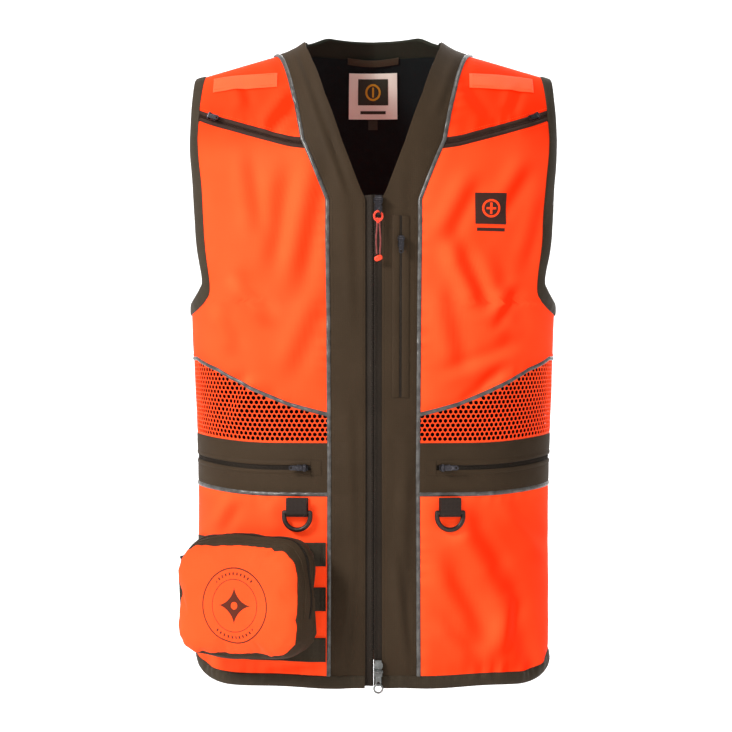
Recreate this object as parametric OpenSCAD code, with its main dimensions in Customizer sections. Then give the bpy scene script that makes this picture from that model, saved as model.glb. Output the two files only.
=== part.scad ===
// Sleeveless hunting vest: two-way front zip, mesh sides, zipped pockets, D-rings and a webbing-mounted pouch.
// Millimetres, +Z up, -Y to the front, +X to the wearer's left. Heights are counted up from the front hem,
// and placed() then drops everything, so that the origin lies midway between the two neck-to-shoulder seams.

/* [Shell] */
// Half of the width at the hem
hem_half_w = 191; // [188:1:194]
// Half of the width at the chest
chest_half_w = 203; // [200:1:206]
// Depth of the front, from the side seams forward
front_depth = 124; // [120:1:128]
// Depth of the back, from the side seams backward
back_depth = 118; // [112:1:122]
// Squareness of the plan outline, where 2 is an ellipse
roundness = 2.4; // [2.3:0.05:2.5]
// Thickness of the outer cloth
cloth_t = 1.2; // [1:0.1:1.4]

/* [Heights] */
// Height of the neck end of the shoulder seam
shoulder_h = 688; // [684:1:692]
// Top edge of the waist band
band_top = 258; // [256:1:260]
// Bottom edge of the waist band
band_low = 204; // [202:1:206]
// Height of the hem binding
hem_h = 13; // [12:0.5:14]

/* [Front] */
// Half of the width of the placket
placket_half_w = 45; // [44:0.5:47]
// Half of the width of the zip tape
tape_half_w = 8.4; // [8:0.1:9]
// Width of the reflective piping
piping_w = 4.4; // [4:0.1:5]
// Width of the webbing in the mounting rows
webbing_w = 25; // [24:0.5:26]

/* [Hardware] */
// Rod diameter of the D-rings
ring_rod = 5; // [4.5:0.1:5.2]
// Outer width of the D-rings
ring_w = 33; // [32:0.5:34]
// Height of the top slider when the zip is closed
top_slider_h = 509; // [506:1:510]
// Height of the bottom slider when the zip is closed
bottom_slider_h = 22; // [21:1:24]

/* [Pouch] */
// Width of the pouch
pouch_w = 145; // [140:1:148]
// Height of the pouch
pouch_h = 127; // [122:1:130]
// Depth of the pouch
pouch_d = 50; // [44:1:52]
// Corner radius of the pouch
pouch_r = 30; // [26:1:32]
// Angle that the pouch is turned towards the side
pouch_turn = 25; // [23:1:27]

/* [Hidden] */

orange = [1, 0.33, 0.1];
olive = [0.27, 0.23, 0.17];
webbing = [0.18, 0.13, 0.1];
grey = [0.45, 0.44, 0.42];
metal = [0.24, 0.23, 0.25];
red = [0.9, 0.2, 0.1];

dome_h = 480;         // height at which the shell starts to round over to the shoulders
waist_h = 230;        // below this height the plan outline stays the same
armpit_h = 398;       // height of the bottom of the armhole
armpit_half_w = 198;  // half of the width there
mm_per_u = 3;         // below dome_h, one unit of u is this many millimetres
shoulder_slope = 0.29;
neck_half_w = 73;
neck_rise = 35;       // how far the back neck stands above the shoulder line
neck_reach = 95;      // half of the width over which it rises
tick = 0.4;           // step for the surface's slopes, in degrees and in u
seam_u = 89.3;        // u of the shoulder seams, just short of the ridge at 90
overlay = 2;          // how far trim that lies on the cloth stands off the shell
split_a = 75;         // angle at which a front half meets the torso
split_u = 54;         // height of the same line in u, across the shoulder
split_gap = 0.5;      // half of the gap there, in degrees and in u

// ---- The shell's surface. a is the angle round the body from the front centre, and u climbs the body,
// ---- negative below dome_h and from 0 to 90 over the shoulder.
function mix(a, b, t) = a + (b - a) * t;
function unit(v) = v / norm(v);
function half_w(z) =
    lookup(z, [[waist_h, hem_half_w], [armpit_h, armpit_half_w], [dome_h, chest_half_w]]);
function top_h(x) =
    shoulder_h - shoulder_slope * (abs(x) - neck_half_w)
    + neck_rise * pow(max(0, 1 - pow(x / neck_reach, 2)), 2);
function power(v) = sign(v) * pow(abs(v), 2 / roundness);
function skin(a, u) =
    let (
        low_z = dome_h + mm_per_u * min(u, 0),
        x = half_w(low_z) * power(sin(a)),
        reach = power(cos(a)) * cos(max(u, 0)),
        z = u < 0 ? low_z : dome_h + (top_h(x) - dome_h) * sin(u)
    )
    [x, -reach * (reach > 0 ? front_depth : back_depth), z];
function outward(a, u) =
    unit(cross(skin(a + tick, u) - skin(a - tick, u), skin(a, u + tick) - skin(a, u - tick)));
function on_skin(a, u, off) = skin(a, u) + off * outward(a, u);
function angle_at(x, z) = sign(x) * asin(pow(abs(x) / half_w(z), roundness / 2));
function u_at(x, z) =
    z < dome_h ? (z - dome_h) / mm_per_u : asin(min(1, (z - dome_h) / (top_h(x) - dome_h)));
function x_at(a, z) = half_w(z) * power(sin(a));

// Edges. upright() takes [height, x] and gives [u, a]; level() takes [x, height] and gives [a, u].
function upright(edge, dx = 0) = [for (p = edge) [u_at(p[1] + dx, p[0]), angle_at(p[1] + dx, p[0])]];
function level(edge, dz = 0) = [for (p = edge) [angle_at(p[0], p[1] + dz), u_at(p[0], p[1] + dz)]];
function flat(z) = [[0, (z - dome_h) / mm_per_u]];
function by_angle(edge) = [for (p = edge) [u_at(x_at(p[1], p[0]), p[0]), p[1]]];
function beside(edge, d) = [for (p = edge) [p[0], p[1] + d]];
function round_back(edge) = [for (p = edge) [p[0], 360 - p[1]]];

// Grid point at the shares p (across) and q (up) of a panel between four edges
function panel_point(left, right, low, high, p, q) =
    let (
        a0 = mix(lookup(-60, left), lookup(-60, right), p),
        u1 = lookup(a0, low),
        u2 = lookup(mix(lookup(u1, left), lookup(u1, right), p), low),
        a2 = mix(lookup(u2, left), lookup(u2, right), p),
        u3 = lookup(a2, low),
        v1 = lookup(a0, high),
        v2 = lookup(mix(lookup(v1, left), lookup(v1, right), p), high),
        b2 = mix(lookup(v2, left), lookup(v2, right), p),
        v3 = lookup(b2, high),
        u = mix(u3, v3, q)
    )
    [mix(lookup(u, left), lookup(u, right), p), u];
function panel(left, right, low, high, cols, rows) =
    [for (i = [0:rows]) [for (j = [0:cols]) panel_point(left, right, low, high, j / cols, i / rows)]];

// Closed sheet over a grid of [a, u], between two distances from the shell
module sheet(grid, near, far, ring = false) {
    rows = len(grid);
    cols = len(grid[0]);
    layer = rows * cols;
    points = [for (off = [near, far]) for (row = grid) for (p = row) on_skin(p[0], p[1], off)];
    last = ring ? rows - 1 : rows - 2;
    cell = [for (i = [0:last]) for (j = [0:cols - 2])
        [i * cols + j, i * cols + j + 1, (i + 1) % rows * cols + j + 1, (i + 1) % rows * cols + j]];
    outer = [for (c = cell) each [
        [layer + c[0], layer + c[3], layer + c[2]], [layer + c[0], layer + c[2], layer + c[1]]]];
    inner = [for (c = cell) each [[c[0], c[2], c[3]], [c[0], c[1], c[2]]]];
    right_rim = [for (i = [0:last]) [i * cols + cols - 1, (i + 1) % rows * cols + cols - 1]];
    left_rim = [for (i = [0:last]) [(i + 1) % rows * cols, i * cols]];
    low_rim = ring ? [] : [for (j = [0:cols - 2]) [j, j + 1]];
    high_rim = ring ? [] : [for (j = [0:cols - 2]) [layer - 1 - j, layer - 2 - j]];
    rim = [for (e = concat(right_rim, left_rim, low_rim, high_rim)) each [
        [layer + e[0], layer + e[1], e[1]], [layer + e[0], e[1], e[0]]]];
    polyhedron(points, concat(outer, inner, rim), convexity = 6);
}

module placed() {
    translate([0, 0, -shoulder_h]) children();
}
module right_side() {
    mirror([1, 0, 0]) children();
}
// Puts a fitting on the shell: its -Y looks outwards and its +Z runs up the shell, turned by spin
module fitted(x, z, off, spin = 0) {
    a = angle_at(x, z);
    n = outward(a, u_at(x, z));
    translate(on_skin(a, u_at(x, z), off))
        rotate([-asin(n[2]), 0, atan2(n[0], -n[1])])
            rotate([0, spin, 0]) children();
}

// ---- Seam lines, as [height, x] or as [x, height]
zip_line = [[0, 8.8], [516, 8.8], [521, 12], [694, 74]];
v_line = [[0, placket_half_w], [514, placket_half_w + 1.5], [579, 73], [680, 105]];
mesh_line = [[40, 290], [90, 301], [130, 316], [165, 334], [190, 346]];
yoke_line = [[60, 573.7], [187, 610]];
neck_out = 105;       // half of the width of the collar band's outer edge at the shoulder seam
neck_in_drop = 29;    // how far in u the back neck's upper edge lies beyond the ridge
neck_out_drop = 35;   // the same for its lower edge

// The armhole's edge and the seam of its binding, as [height, angle]
armhole_front = [[398, 90], [400, 83], [406, 75], [416, 68], [428, 64.8], [464, 68.3], [497, 70.3],
    [528, 72.3], [575, 76], [600, 76], [653, 72.5]];
armhole_front_seam = [[386, 90], [387.5, 80], [392, 70.5], [403, 62.5], [418, 59], [464, 63], [497, 65],
    [528, 67], [575, 70.7], [600, 70.7], [655, 67]];
armhole_back = [[398, 90], [400, 97], [406, 104], [416, 109], [430, 111], [464, 110],
    [528, 108], [575, 105], [600, 105], [653, 107.5]];
armhole_back_seam = [[386, 90], [387.5, 100], [392, 109], [403, 115], [418, 117], [464, 115.5],
    [528, 113], [575, 110.5], [600, 110.5], [655, 113]];

front_edge = upright(v_line, 1.2);
front_split = [[0, split_a - split_gap]];
torso_split = [[0, split_a + split_gap]];
torso_split_round = round_back(torso_split);
front_top = [[0, split_u - split_gap]];
front_armhole = by_angle([for (p = armhole_front) [p[0], min(p[1], split_a - split_gap)]]);
back_armhole = by_angle(armhole_back);
back_armhole_round = round_back(back_armhole);
side_mesh = concat(level(mesh_line), [for (p = [[90, 350], [120, 356], [180, 360]]) [p[0], flat(p[1])[0][1]]]);
whole_mesh = concat(side_mesh, [for (p = side_mesh) [360 - p[0], p[1]]]);
shoulder_seam = [[0, seam_u]];
back_neck = concat(
    [[90, seam_u]],
    [for (t = [0:15:180]) [180 - angle_at((neck_out - 3) * cos(t), dome_h), seam_u - neck_out_drop * sin(t)]],
    [[270, seam_u]]);
back_seam = level([for (x = [0, 60, 120, 160, 187]) [x, 556]]);
back_yoke_line = concat([for (i = [4:-1:0]) [180 - back_seam[i][0], back_seam[i][1]]],
    [for (i = [1:4]) [180 + back_seam[i][0], back_seam[i][1]]]);

// ---- Torso
module back_yoke() {
    // Where the yoke reaches over the shoulder, down to the front half
    module cap() {
        sheet(panel([[0, angle_at(neck_out - 6, dome_h)]], beside(front_armhole, -0.1),
            [[0, split_u + split_gap]], shoulder_seam, 8, 4), 0, cloth_t);
    }
    color(orange) placed() {
        sheet(panel(beside(back_armhole, 0.2), beside(back_armhole_round, -0.2),
            beside(back_yoke_line, 0.3), back_neck, 24, 11), 0, cloth_t);
        cap();
        right_side() cap();
    }
}
module back_upper() {
    color(orange) placed() {
        sheet(panel(torso_split, torso_split_round, beside(whole_mesh, 0.2), flat(armpit_h - 1), 34, 3),
            0, cloth_t);
        sheet(panel(beside(back_armhole, 0.2), beside(back_armhole_round, -0.2),
            flat(armpit_h - 0.8), beside(back_yoke_line, -0.3), 22, 12), 0, cloth_t);
    }
}
module back_mesh() {
    color(orange) placed()
        sheet(panel(torso_split, torso_split_round, flat(band_top + 0.5), beside(whole_mesh, -0.2), 46, 4),
            0, cloth_t);
}
module back_band() {
    color(olive) placed()
        sheet(panel(torso_split, torso_split_round, flat(band_low), flat(band_top), 46, 2), 0, cloth_t);
}
module back_lower() {
    color(orange) placed()
        sheet(panel(torso_split, torso_split_round, flat(hem_h + 0.5), flat(band_low - 0.5), 46, 1),
            0, cloth_t);
}
module back_hem() {
    color(olive) placed()
        sheet(panel(torso_split, torso_split_round, flat(0), flat(hem_h), 46, 1), -0.8, cloth_t + 0.3);
}
module back_lining() {
    color("black") placed()
        sheet(panel([[0, 114]], [[0, 246]], flat(hem_h + 2),
            beside(back_neck, -1.5), 20, 24), -3.2, -2.6);
}
// The V-shaped band above the front halves, over both shoulders and round the back neck
function collar_side(t) =
    let (
        u = mix(split_u + split_gap, 90, t),
        x_in = mix(61, neck_half_w, t),
        x_out = mix(96, neck_out, t)
    )
    [[angle_at(x_in, dome_h), u], [angle_at(x_out, dome_h), u]];
function across(row) = [row[0], [for (i = [0:1]) mix(row[0][i], row[1][i], 0.5)], row[1]];
function mirrored(row) = [for (p = row) [-p[0], p[1]]];
module collar_band() {
    steps = 4;
    up = [for (i = [0:steps - 1]) across(collar_side(i / steps))];
    neck = [for (t = [0:9:180]) across([
        [180 - angle_at(neck_half_w * cos(t), dome_h), 90 - neck_in_drop * sin(t)],
        [180 - angle_at(neck_out * cos(t), dome_h), 90 - neck_out_drop * sin(t)]])];
    down = [for (i = [steps - 1:-1:0]) mirrored(up[i])];
    color(olive) placed() sheet(concat(up, neck, down), overlay, overlay + cloth_t);
}
module back_piece(x0, x1, z0, z1, near, far) {
    grid = [for (z = [z0, (z0 + z1) / 2, z1]) [for (j = [0:4])
        let (x = mix(x1, x0, j / 4)) [180 - angle_at(x, z), u_at(x, z)]]];
    sheet(grid, near, far);
}
module hanger_loop() {
    color(olive) placed() {
        back_piece(-30, 30, 683, 688, -6.6, -5.4);
        back_piece(-30, -24, 684, 698, -6.6, -5.4);
        back_piece(24, 30, 684, 698, -6.6, -5.4);
    }
}
module neck_label() {
    color([0.85, 0.68, 0.6]) placed() {
        back_piece(-28.5, 28.5, 622, 673, -5.8, -5.2);
        back_piece(-5.5, 5.5, 610, 623, -5.8, -5.2);
    }
}
function along(list, t) = let (i = min(floor(t), len(list) - 2)) mix(list[i], list[i + 1], t - i);
// The binding round an armhole, from one row of its outline to another
binding_edge = concat(by_angle(armhole_front), [for (i = [len(armhole_back) - 2:-1:0]) by_angle(armhole_back)[i]]);
binding_seam = concat(by_angle(armhole_front_seam),
    [for (i = [len(armhole_back_seam) - 2:-1:0]) by_angle(armhole_back_seam)[i]]);
binding_finer = 5;    // steps from one row of the outline to the next
binding_from = 2;     // row at which the binding of the front half begins, and where it ends
binding_to = 9.19;
binding_round = 1.47; // row at which the torso's binding ends, past the bottom of the armhole
module armhole_strip(from, to) {
    steps = round((to - from) * binding_finer);
    grid = [for (k = [0:steps]) let (t = from + (to - from) * k / steps, r = len(binding_edge) - 1)
        [for (line = [binding_seam, binding_edge]) let (p = along(line, t > r ? t - r : t)) [p[1], p[0]]]];
    sheet(grid, overlay, overlay + cloth_t);
}
module armhole_bindings() {
    rows = len(binding_edge) - 1;
    color(olive) placed() {
        armhole_strip(binding_to + 0.05, rows + binding_round);
        right_side() armhole_strip(binding_to + 0.05, rows + binding_round);
    }
}
module shoulder_tabs() {
    module tab() {
        low = [[100, 637.5], [176, 634.5]];
        sheet(panel(upright([[600, 103], [660, 103]]), upright([[600, 173], [660, 173]]),
            level(low), level(low, 16), 6, 2), overlay, overlay + 1);
    }
    color(orange) placed() {
        tab();
        right_side() tab();
    }
}
// ---- Front halves
module placket() {
    color(olive) placed()
        sheet(panel(upright(zip_line), upright(v_line), flat(hem_h + 0.5), front_top, 3, 30),
            0, cloth_t);
}
module placket_left() {
    placket();
}
module placket_right() {
    right_side() placket();
}
module chest() {
    color(orange) placed()
        sheet(panel(front_edge, front_armhole, level(mesh_line, 0.4), level(yoke_line, -6.3), 11, 20), 0, cloth_t);
}
module chest_left() {
    chest();
}
module chest_right() {
    right_side() chest();
}
module yoke() {
    color(orange) placed()
        sheet(panel(front_edge, beside(front_armhole, -0.1), level(yoke_line, 6.3), front_top, 9, 5), 0, cloth_t);
}
module yoke_left() {
    yoke();
}
module yoke_right() {
    right_side() yoke();
}
module side_panel_mesh() {
    color(orange) placed()
        sheet(panel(front_edge, front_split, flat(band_top + 0.5), level(mesh_line, -0.4), 11, 3), 0, cloth_t);
}
module mesh_left() {
    side_panel_mesh();
}
module mesh_right() {
    right_side() side_panel_mesh();
}
pocket_h = 232;       // middle height of the waist pocket zips
pocket_half = 6.5;    // half of the width of their tapes
pocket_in = 66;       // where the tapes begin, out from the middle
module band() {
    inner_end = upright([[0, pocket_in], [480, pocket_in]]);
    zip_side = upright([[0, pocket_in - 0.6], [480, pocket_in - 0.6]]);
    color(olive) placed() {
        sheet(panel(front_edge, zip_side, flat(band_low), flat(band_top), 2, 1), 0, cloth_t);
        sheet(panel(inner_end, front_split, flat(band_low), flat(pocket_h - pocket_half - 0.4), 11, 1), 0, cloth_t);
        sheet(panel(inner_end, front_split, flat(pocket_h + pocket_half + 0.4), flat(band_top), 11, 1), 0, cloth_t);
    }
}
module band_left() {
    band();
}
module band_right() {
    right_side() band();
}
module lower() {
    color(orange) placed()
        sheet(panel(front_edge, front_split, flat(hem_h + 0.5), flat(band_low - 0.5), 12, 1), 0, cloth_t);
}
module lower_left() {
    lower();
}
module lower_right() {
    right_side() lower();
}
module binding() {
    color(olive) placed() {
        sheet(panel(upright([[0, 10], [20, 10]]), front_split, flat(0), flat(hem_h), 13, 1), -0.8, cloth_t + 0.3);
        armhole_strip(binding_from, binding_to);
    }
}
module binding_left() {
    binding();
}
module binding_right() {
    right_side() binding();
}
module piping() {
    half = piping_w / 2;
    inner = upright(v_line, piping_w / 2);
    near = overlay;
    far = overlay + 1;
    color(grey) placed() {
        sheet(panel(upright(v_line, 0), upright(v_line, piping_w), flat(hem_h + 1), front_top, 1, 30),
            near, far);
        sheet(panel(inner, front_split, level(mesh_line, -half), level(mesh_line, half), 12, 1), near, far);
        sheet(panel(inner, front_split, flat(band_low - half), flat(band_low + half), 12, 1), near, far);
    }
}
module piping_left() {
    piping();
}
module piping_right() {
    right_side() piping();
}
teeth_out = 2;        // how far the main zip's teeth stand out of the shell
zip_top = 519;
module main_zip() {
    color(webbing) placed() {
        sheet(panel(upright([[0, 1.8], [530, 1.8]]), upright([[0, tape_half_w], [530, tape_half_w]]),
            flat(3), [[0, u_at(0, zip_top)]], 1, 8), 0.1, 0.9);
        sheet(panel(upright([[0, 0.4], [530, 0.4]]), upright([[0, 2.6], [530, 2.6]]),
            flat(3), [[0, u_at(0, zip_top)]], 1, 8), -0.8, teeth_out);
    }
}
module main_zip_left() {
    main_zip();
}
module main_zip_right() {
    right_side() main_zip();
}
// Both pocket zips of a side: the level one in the waist band and the slanting one under the yoke
module pocket_zips() {
    module waist_tape(half, near, far) {
        sheet(panel(upright([[0, pocket_in + 0.2], [480, pocket_in + 0.2]]), front_split,
            flat(pocket_h - half), flat(pocket_h + half), 9, 1), near, far);
    }
    module yoke_tape(half, near, far) {
        sheet(panel(upright(v_line, 4), upright([[560, 187], [640, 187]]), level(yoke_line, -half),
            level(yoke_line, half), 9, 1), near, far);
    }
    color(webbing) placed() {
        waist_tape(pocket_half - 0.3, -0.4, 0.5);
        waist_tape(1.8, 0, 1.6);
        yoke_tape(5.5, 0, 1);
        yoke_tape(1.6, 0.5, 2.2);
    }
}
module pocket_zips_left() {
    pocket_zips();
}
module pocket_zips_right() {
    right_side() pocket_zips();
}
chest_zip_x = 28.5;   // middle of the chest pocket's zip
module chest_zip() {
    module tape(half, near, far) {
        sheet(panel(upright([[0, chest_zip_x - half], [530, chest_zip_x - half]]),
            upright([[0, chest_zip_x + half], [530, chest_zip_x + half]]), flat(308),
            [[0, u_at(chest_zip_x, 494)]], 2, 2), near, far);
    }
    color(webbing) placed() {
        tape(8.5, cloth_t + 0.5, cloth_t + 1);
        tape(1.8, cloth_t + 0.7, cloth_t + 2.4);
    }
}

// ---- D-rings on their webbing tabs, built round the ring's bar
ring_x = 79;
ring_h = 185;         // height of the bar
ring_off = 6.6;       // distance of the bar from the shell
tab_in = 3;           // inner radius of the webbing fold
tab_t = 1.6;
tab_w = webbing_w - 3; // gathered to pass between the ring's sides
module at_ring() {
    placed() fitted(ring_x, ring_h, ring_off) children();
}
module ring_webbing() {
    leg = band_low - 3.4 - ring_h;
    color(webbing) at_ring() rotate([90, 0, 90]) translate([0, 0, -tab_w / 2]) linear_extrude(tab_w)
        difference() {
            union() {
                circle(r = tab_in + tab_t, $fn = 40);
                translate([-tab_in - tab_t, 0]) square([2 * (tab_in + tab_t), leg]);
            }
            circle(r = tab_in, $fn = 40);
            translate([-tab_in, 0]) square([2 * tab_in, leg + 1]);
        }
}
module ring_webbing_left() {
    ring_webbing();
}
module ring_webbing_right() {
    right_side() ring_webbing();
}
module d_ring() {
    bow_r = (ring_w - ring_rod) / 2;
    straight = 4;
    color(metal) at_ring() {
        rotate([0, 90, 0]) cylinder(d = ring_rod, h = ring_w - ring_rod, center = true, $fn = 32);
        for (s = [-1, 1]) translate([s * bow_r, 0, -straight]) {
            cylinder(d = ring_rod, h = straight, $fn = 32);
            translate([0, 0, straight]) sphere(d = ring_rod, $fn = 32);
        }
        translate([0, 0, -straight]) rotate([-90, 0, 0])
            rotate_extrude(angle = 180, $fn = 64) translate([bow_r, 0]) circle(d = ring_rod, $fn = 32);
    }
}
module d_ring_left() {
    d_ring();
}
module d_ring_right() {
    right_side() d_ring();
}

// ---- Mounting rows and the pouch, on the wearer's right
row_heights = [41, 94, 141];
row_near = 3.4;
module molle_webbing() {
    tack_step = 40;
    color(webbing) placed() right_side() for (h = row_heights) {
        row_low = flat(h - webbing_w / 2);
        row_high = flat(h + webbing_w / 2);
        sheet(panel(upright(v_line, piping_w + 1), front_split, row_low, row_high, 9, 1), row_near, row_near + 1.4);
        for (x = [53:tack_step:140])
            sheet(panel(upright([[0, x], [200, x]]), upright([[0, x + 3], [200, x + 3]]), row_low, row_high, 1, 1),
                cloth_t + 0.3, row_near + 0.4);
    }
}
strap_w = 20;
module pouch_straps() {
    color(webbing) placed() right_side() for (x = [73, 113])
        sheet(panel(upright([[0, x - strap_w / 2], [200, x - strap_w / 2]]),
            upright([[0, x + strap_w / 2], [200, x + strap_w / 2]]), flat(22), flat(160), 3, 1),
            cloth_t + 0.7, row_near - 0.4);
}
pouch_x = -121;
pouch_y = -112.5;
pouch_mid_h = 100;
pouch_wall = 2;
module rounded(w, h, r) {
    square([w - 2 * r, h], center = true);
    square([w, h - 2 * r], center = true);
    for (x = [-1, 1], y = [-1, 1]) translate([x * (w / 2 - r), y * (h / 2 - r)]) circle(r, $fn = 64);
}
// The pouch's own frame: its back lies in the plane y = 0 and it grows towards -Y
module at_pouch() {
    placed() translate([pouch_x, pouch_y, pouch_mid_h]) rotate([0, 0, -pouch_turn]) children();
}
module pouch_slab(from, thick) {
    translate([0, -from, 0]) rotate([90, 0, 0]) linear_extrude(thick) children();
}
module pouch_back() {
    color(olive) at_pouch() pouch_slab(0, pouch_wall) rounded(pouch_w, pouch_h, pouch_r);
}
module pouch_gusset() {
    color(olive) at_pouch() pouch_slab(pouch_wall, pouch_d - 2 * pouch_wall) difference() {
        rounded(pouch_w, pouch_h, pouch_r);
        rounded(pouch_w - 2 * pouch_wall, pouch_h - 2 * pouch_wall, pouch_r - pouch_wall);
    }
}
module pouch_front() {
    color(orange) at_pouch() pouch_slab(pouch_d - pouch_wall, pouch_wall) rounded(pouch_w, pouch_h, pouch_r);
}

// ---- Sliders and pullers. The zip runs along Z, -Y looks outwards, and the slider's back lies at y = 0.
// ---- The bar that carries the puller is at y = -(t + bar_off) and z = bar_z.
bar_off = 2.4;
bar_r = 0.8;
cheek = 1.2;
module slider_body(w, l, t, bar_z) {
    color(metal) {
        rotate([90, 0, 0]) linear_extrude(t) {
            square([0.7 * w, l], center = true);
            translate([0, l * 0.18]) circle(d = w, $fn = 40);
            translate([0, -l * 0.3]) square([0.86 * w, l * 0.4], center = true);
        }
        for (s = [-1, 1]) translate([s * (w - cheek) / 2, -t - bar_off / 2 - 0.2, bar_z])
            cube([cheek, bar_off + 1.4, 2.4], center = true);
        translate([0, -t - bar_off, bar_z]) rotate([0, 90, 0]) cylinder(r = bar_r, h = w, center = true, $fn = 24);
    }
}
// A puller hanging from the bar at the origin: an eye, a tapering tab and a hole near its end
module puller(w, l, tab_w, hole_r) {
    eye_w = w - 2 * cheek - 0.6;
    color(metal) difference() {
        union() {
            rotate([0, 90, 0]) cylinder(r = 2, h = eye_w, center = true, $fn = 32);
            translate([-eye_w / 2, -0.8, -4]) cube([eye_w, 1.6, 3.2]);
            rotate([90, 0, 0]) translate([0, 0, -0.8]) linear_extrude(1.6) {
                translate([-tab_w / 2, -l + tab_w / 2]) square([tab_w, l - tab_w / 2 - 2.8]);
                translate([0, -l + tab_w / 2]) circle(d = tab_w, $fn = 32);
            }
        }
        rotate([0, 90, 0]) cylinder(r = bar_r + 0.3, h = w, center = true, $fn = 24);
        translate([0, 0, -l + tab_w / 2]) rotate([90, 0, 0]) cylinder(r = hole_r, h = 4, center = true, $fn = 32);
    }
}
module hung(t, bar_z) {
    translate([0, -t - bar_off, bar_z]) children();
}

big_w = 9.6;
big_l = 18;
big_t = 3.4;
small_w = 7.4;
small_l = 12;
small_t = 2.6;
slider_gap = 0.5;

// The main sliders stay on the wearer's left half, clear of the right half's teeth
main_off = front_depth + teeth_out + slider_gap;
main_x = big_w / 2 + 0.1;
module at_main(h) {
    placed() translate([main_x, -main_off, h]) children();
}
main_bar_z = 5;
module main_top_slider() {
    at_main(top_slider_h) slider_body(big_w, big_l, big_t, main_bar_z);
}
module main_top_pull() {
    at_main(top_slider_h) hung(big_t, main_bar_z) puller(big_w, 17, 6, 1.6);
}
module main_bottom_slider() {
    at_main(bottom_slider_h) slider_body(big_w, 17, big_t, -main_bar_z + 2);
}
ring_pull_r = 4.4;    // middle radius of the round ring on the bottom puller
module main_bottom_pull() {
    at_main(bottom_slider_h) hung(big_t, -main_bar_z + 2) {
        puller(big_w, 15, 6, 1.6);
        color(metal) translate([0, 0, -15 - 2.6]) rotate([90, 0, 0])
            rotate_extrude($fn = 48) translate([ring_pull_r, 0]) circle(d = 2, $fn = 24);
    }
}

// ---- Red cord on the top puller: a knot, two strands and a moulded end
cord_r = 0.9;
cord_sides = 8;
cord_y = -main_off - big_t - bar_off;
strand = [[0, 0, 0], [0.2, 0, -5], [0.5, -0.2, -10], [0.9, -0.3, -15], [1.1, -0.3, -20], [1, -0.2, -25],
    [0.7, -0.1, -30], [0.5, 0, -35]];
cord_top = 491;
knot_d = 5.8;
module tube(path, r) {
    points = [for (p = path) for (k = [0:cord_sides - 1])
        p + r * [cos(360 * k / cord_sides), sin(360 * k / cord_sides), 0]];
    rings = len(path);
    sides = [for (i = [0:rings - 2]) for (k = [0:cord_sides - 1])
        let (m = (k + 1) % cord_sides)
        [i * cord_sides + k, i * cord_sides + m, (i + 1) * cord_sides + m, (i + 1) * cord_sides + k]];
    start = [for (k = [cord_sides - 1:-1:0]) k];
    end = [for (k = [0:cord_sides - 1]) (rings - 1) * cord_sides + k];
    polyhedron(points, concat(sides, [start, end]), convexity = 4);
}
module pull_cord() {
    color(red) placed() for (s = [-1, 1])
        tube([for (p = strand) [main_x + s * (1.2 + p[0]), cord_y + p[1], cord_top + p[2]]], cord_r);
}
module cord_end() {
    color(red) placed() translate([main_x, cord_y, 0]) {
        translate([0, 0, cord_top + knot_d / 2]) sphere(d = knot_d, $fn = 32);
        translate([0, 0, cord_top - 39]) intersection() {
            rotate([90, 0, 0]) cylinder(d = 9.6, h = 4.2, center = true, $fn = 48);
            cube([9, 5, 7.8], center = true);
        }
    }
}

// ---- Pocket sliders
chest_slider_h = 470;
module at_chest_zip() {
    placed() fitted(chest_zip_x, chest_slider_h, cloth_t + 2.4 + slider_gap) children();
}
module chest_slider() {
    at_chest_zip() slider_body(small_w, small_l, small_t, 3);
}
module chest_pull() {
    at_chest_zip() hung(small_t, 3) puller(small_w, 16, 5, 1.2);
}
yoke_slider_x = 170;
yoke_slope = 15.9;    // slope of the yoke zips
function on_line(x, edge) = lookup(x, edge);
module at_yoke_zip() {
    placed() fitted(yoke_slider_x, on_line(yoke_slider_x, yoke_line), 2.2 + 1.5, 90 - yoke_slope) children();
}
module yoke_slider_left() {
    at_yoke_zip() slider_body(small_w, small_l, small_t, 3);
}
module yoke_pull_left() {
    at_yoke_zip() hung(small_t, 3) puller(small_w, 15, 5, 1.2);
}
module yoke_slider_right() {
    right_side() yoke_slider_left();
}
module yoke_pull_right() {
    right_side() yoke_pull_left();
}
waist_slider_x = 74;
module at_waist_zip() {
    placed() fitted(waist_slider_x, pocket_h, 1.6 + 1.2, -90) children();
}
module waist_slider_left() {
    at_waist_zip() slider_body(small_w, small_l, small_t, 3);
}
module waist_pull_left() {
    at_waist_zip() hung(small_t, 3) puller(small_w, 17, 5, 1.2);
}
module waist_slider_right() {
    right_side() waist_slider_left();
}
module waist_pull_right() {
    right_side() waist_pull_left();
}
// The pouch slider stands where the side meets the upper outer corner, halfway through the gusset
module at_pouch_zip() {
    at_pouch() translate([-pouch_w / 2 - slider_gap, -pouch_d / 2, pouch_h / 2 - pouch_r])
        rotate([0, 0, -90]) children();
}
module pouch_slider() {
    at_pouch_zip() slider_body(small_w, small_l, small_t, 3);
}
module pouch_pull() {
    at_pouch_zip() hung(small_t, 3) puller(small_w, 16, 5, 1.2);
}

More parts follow.
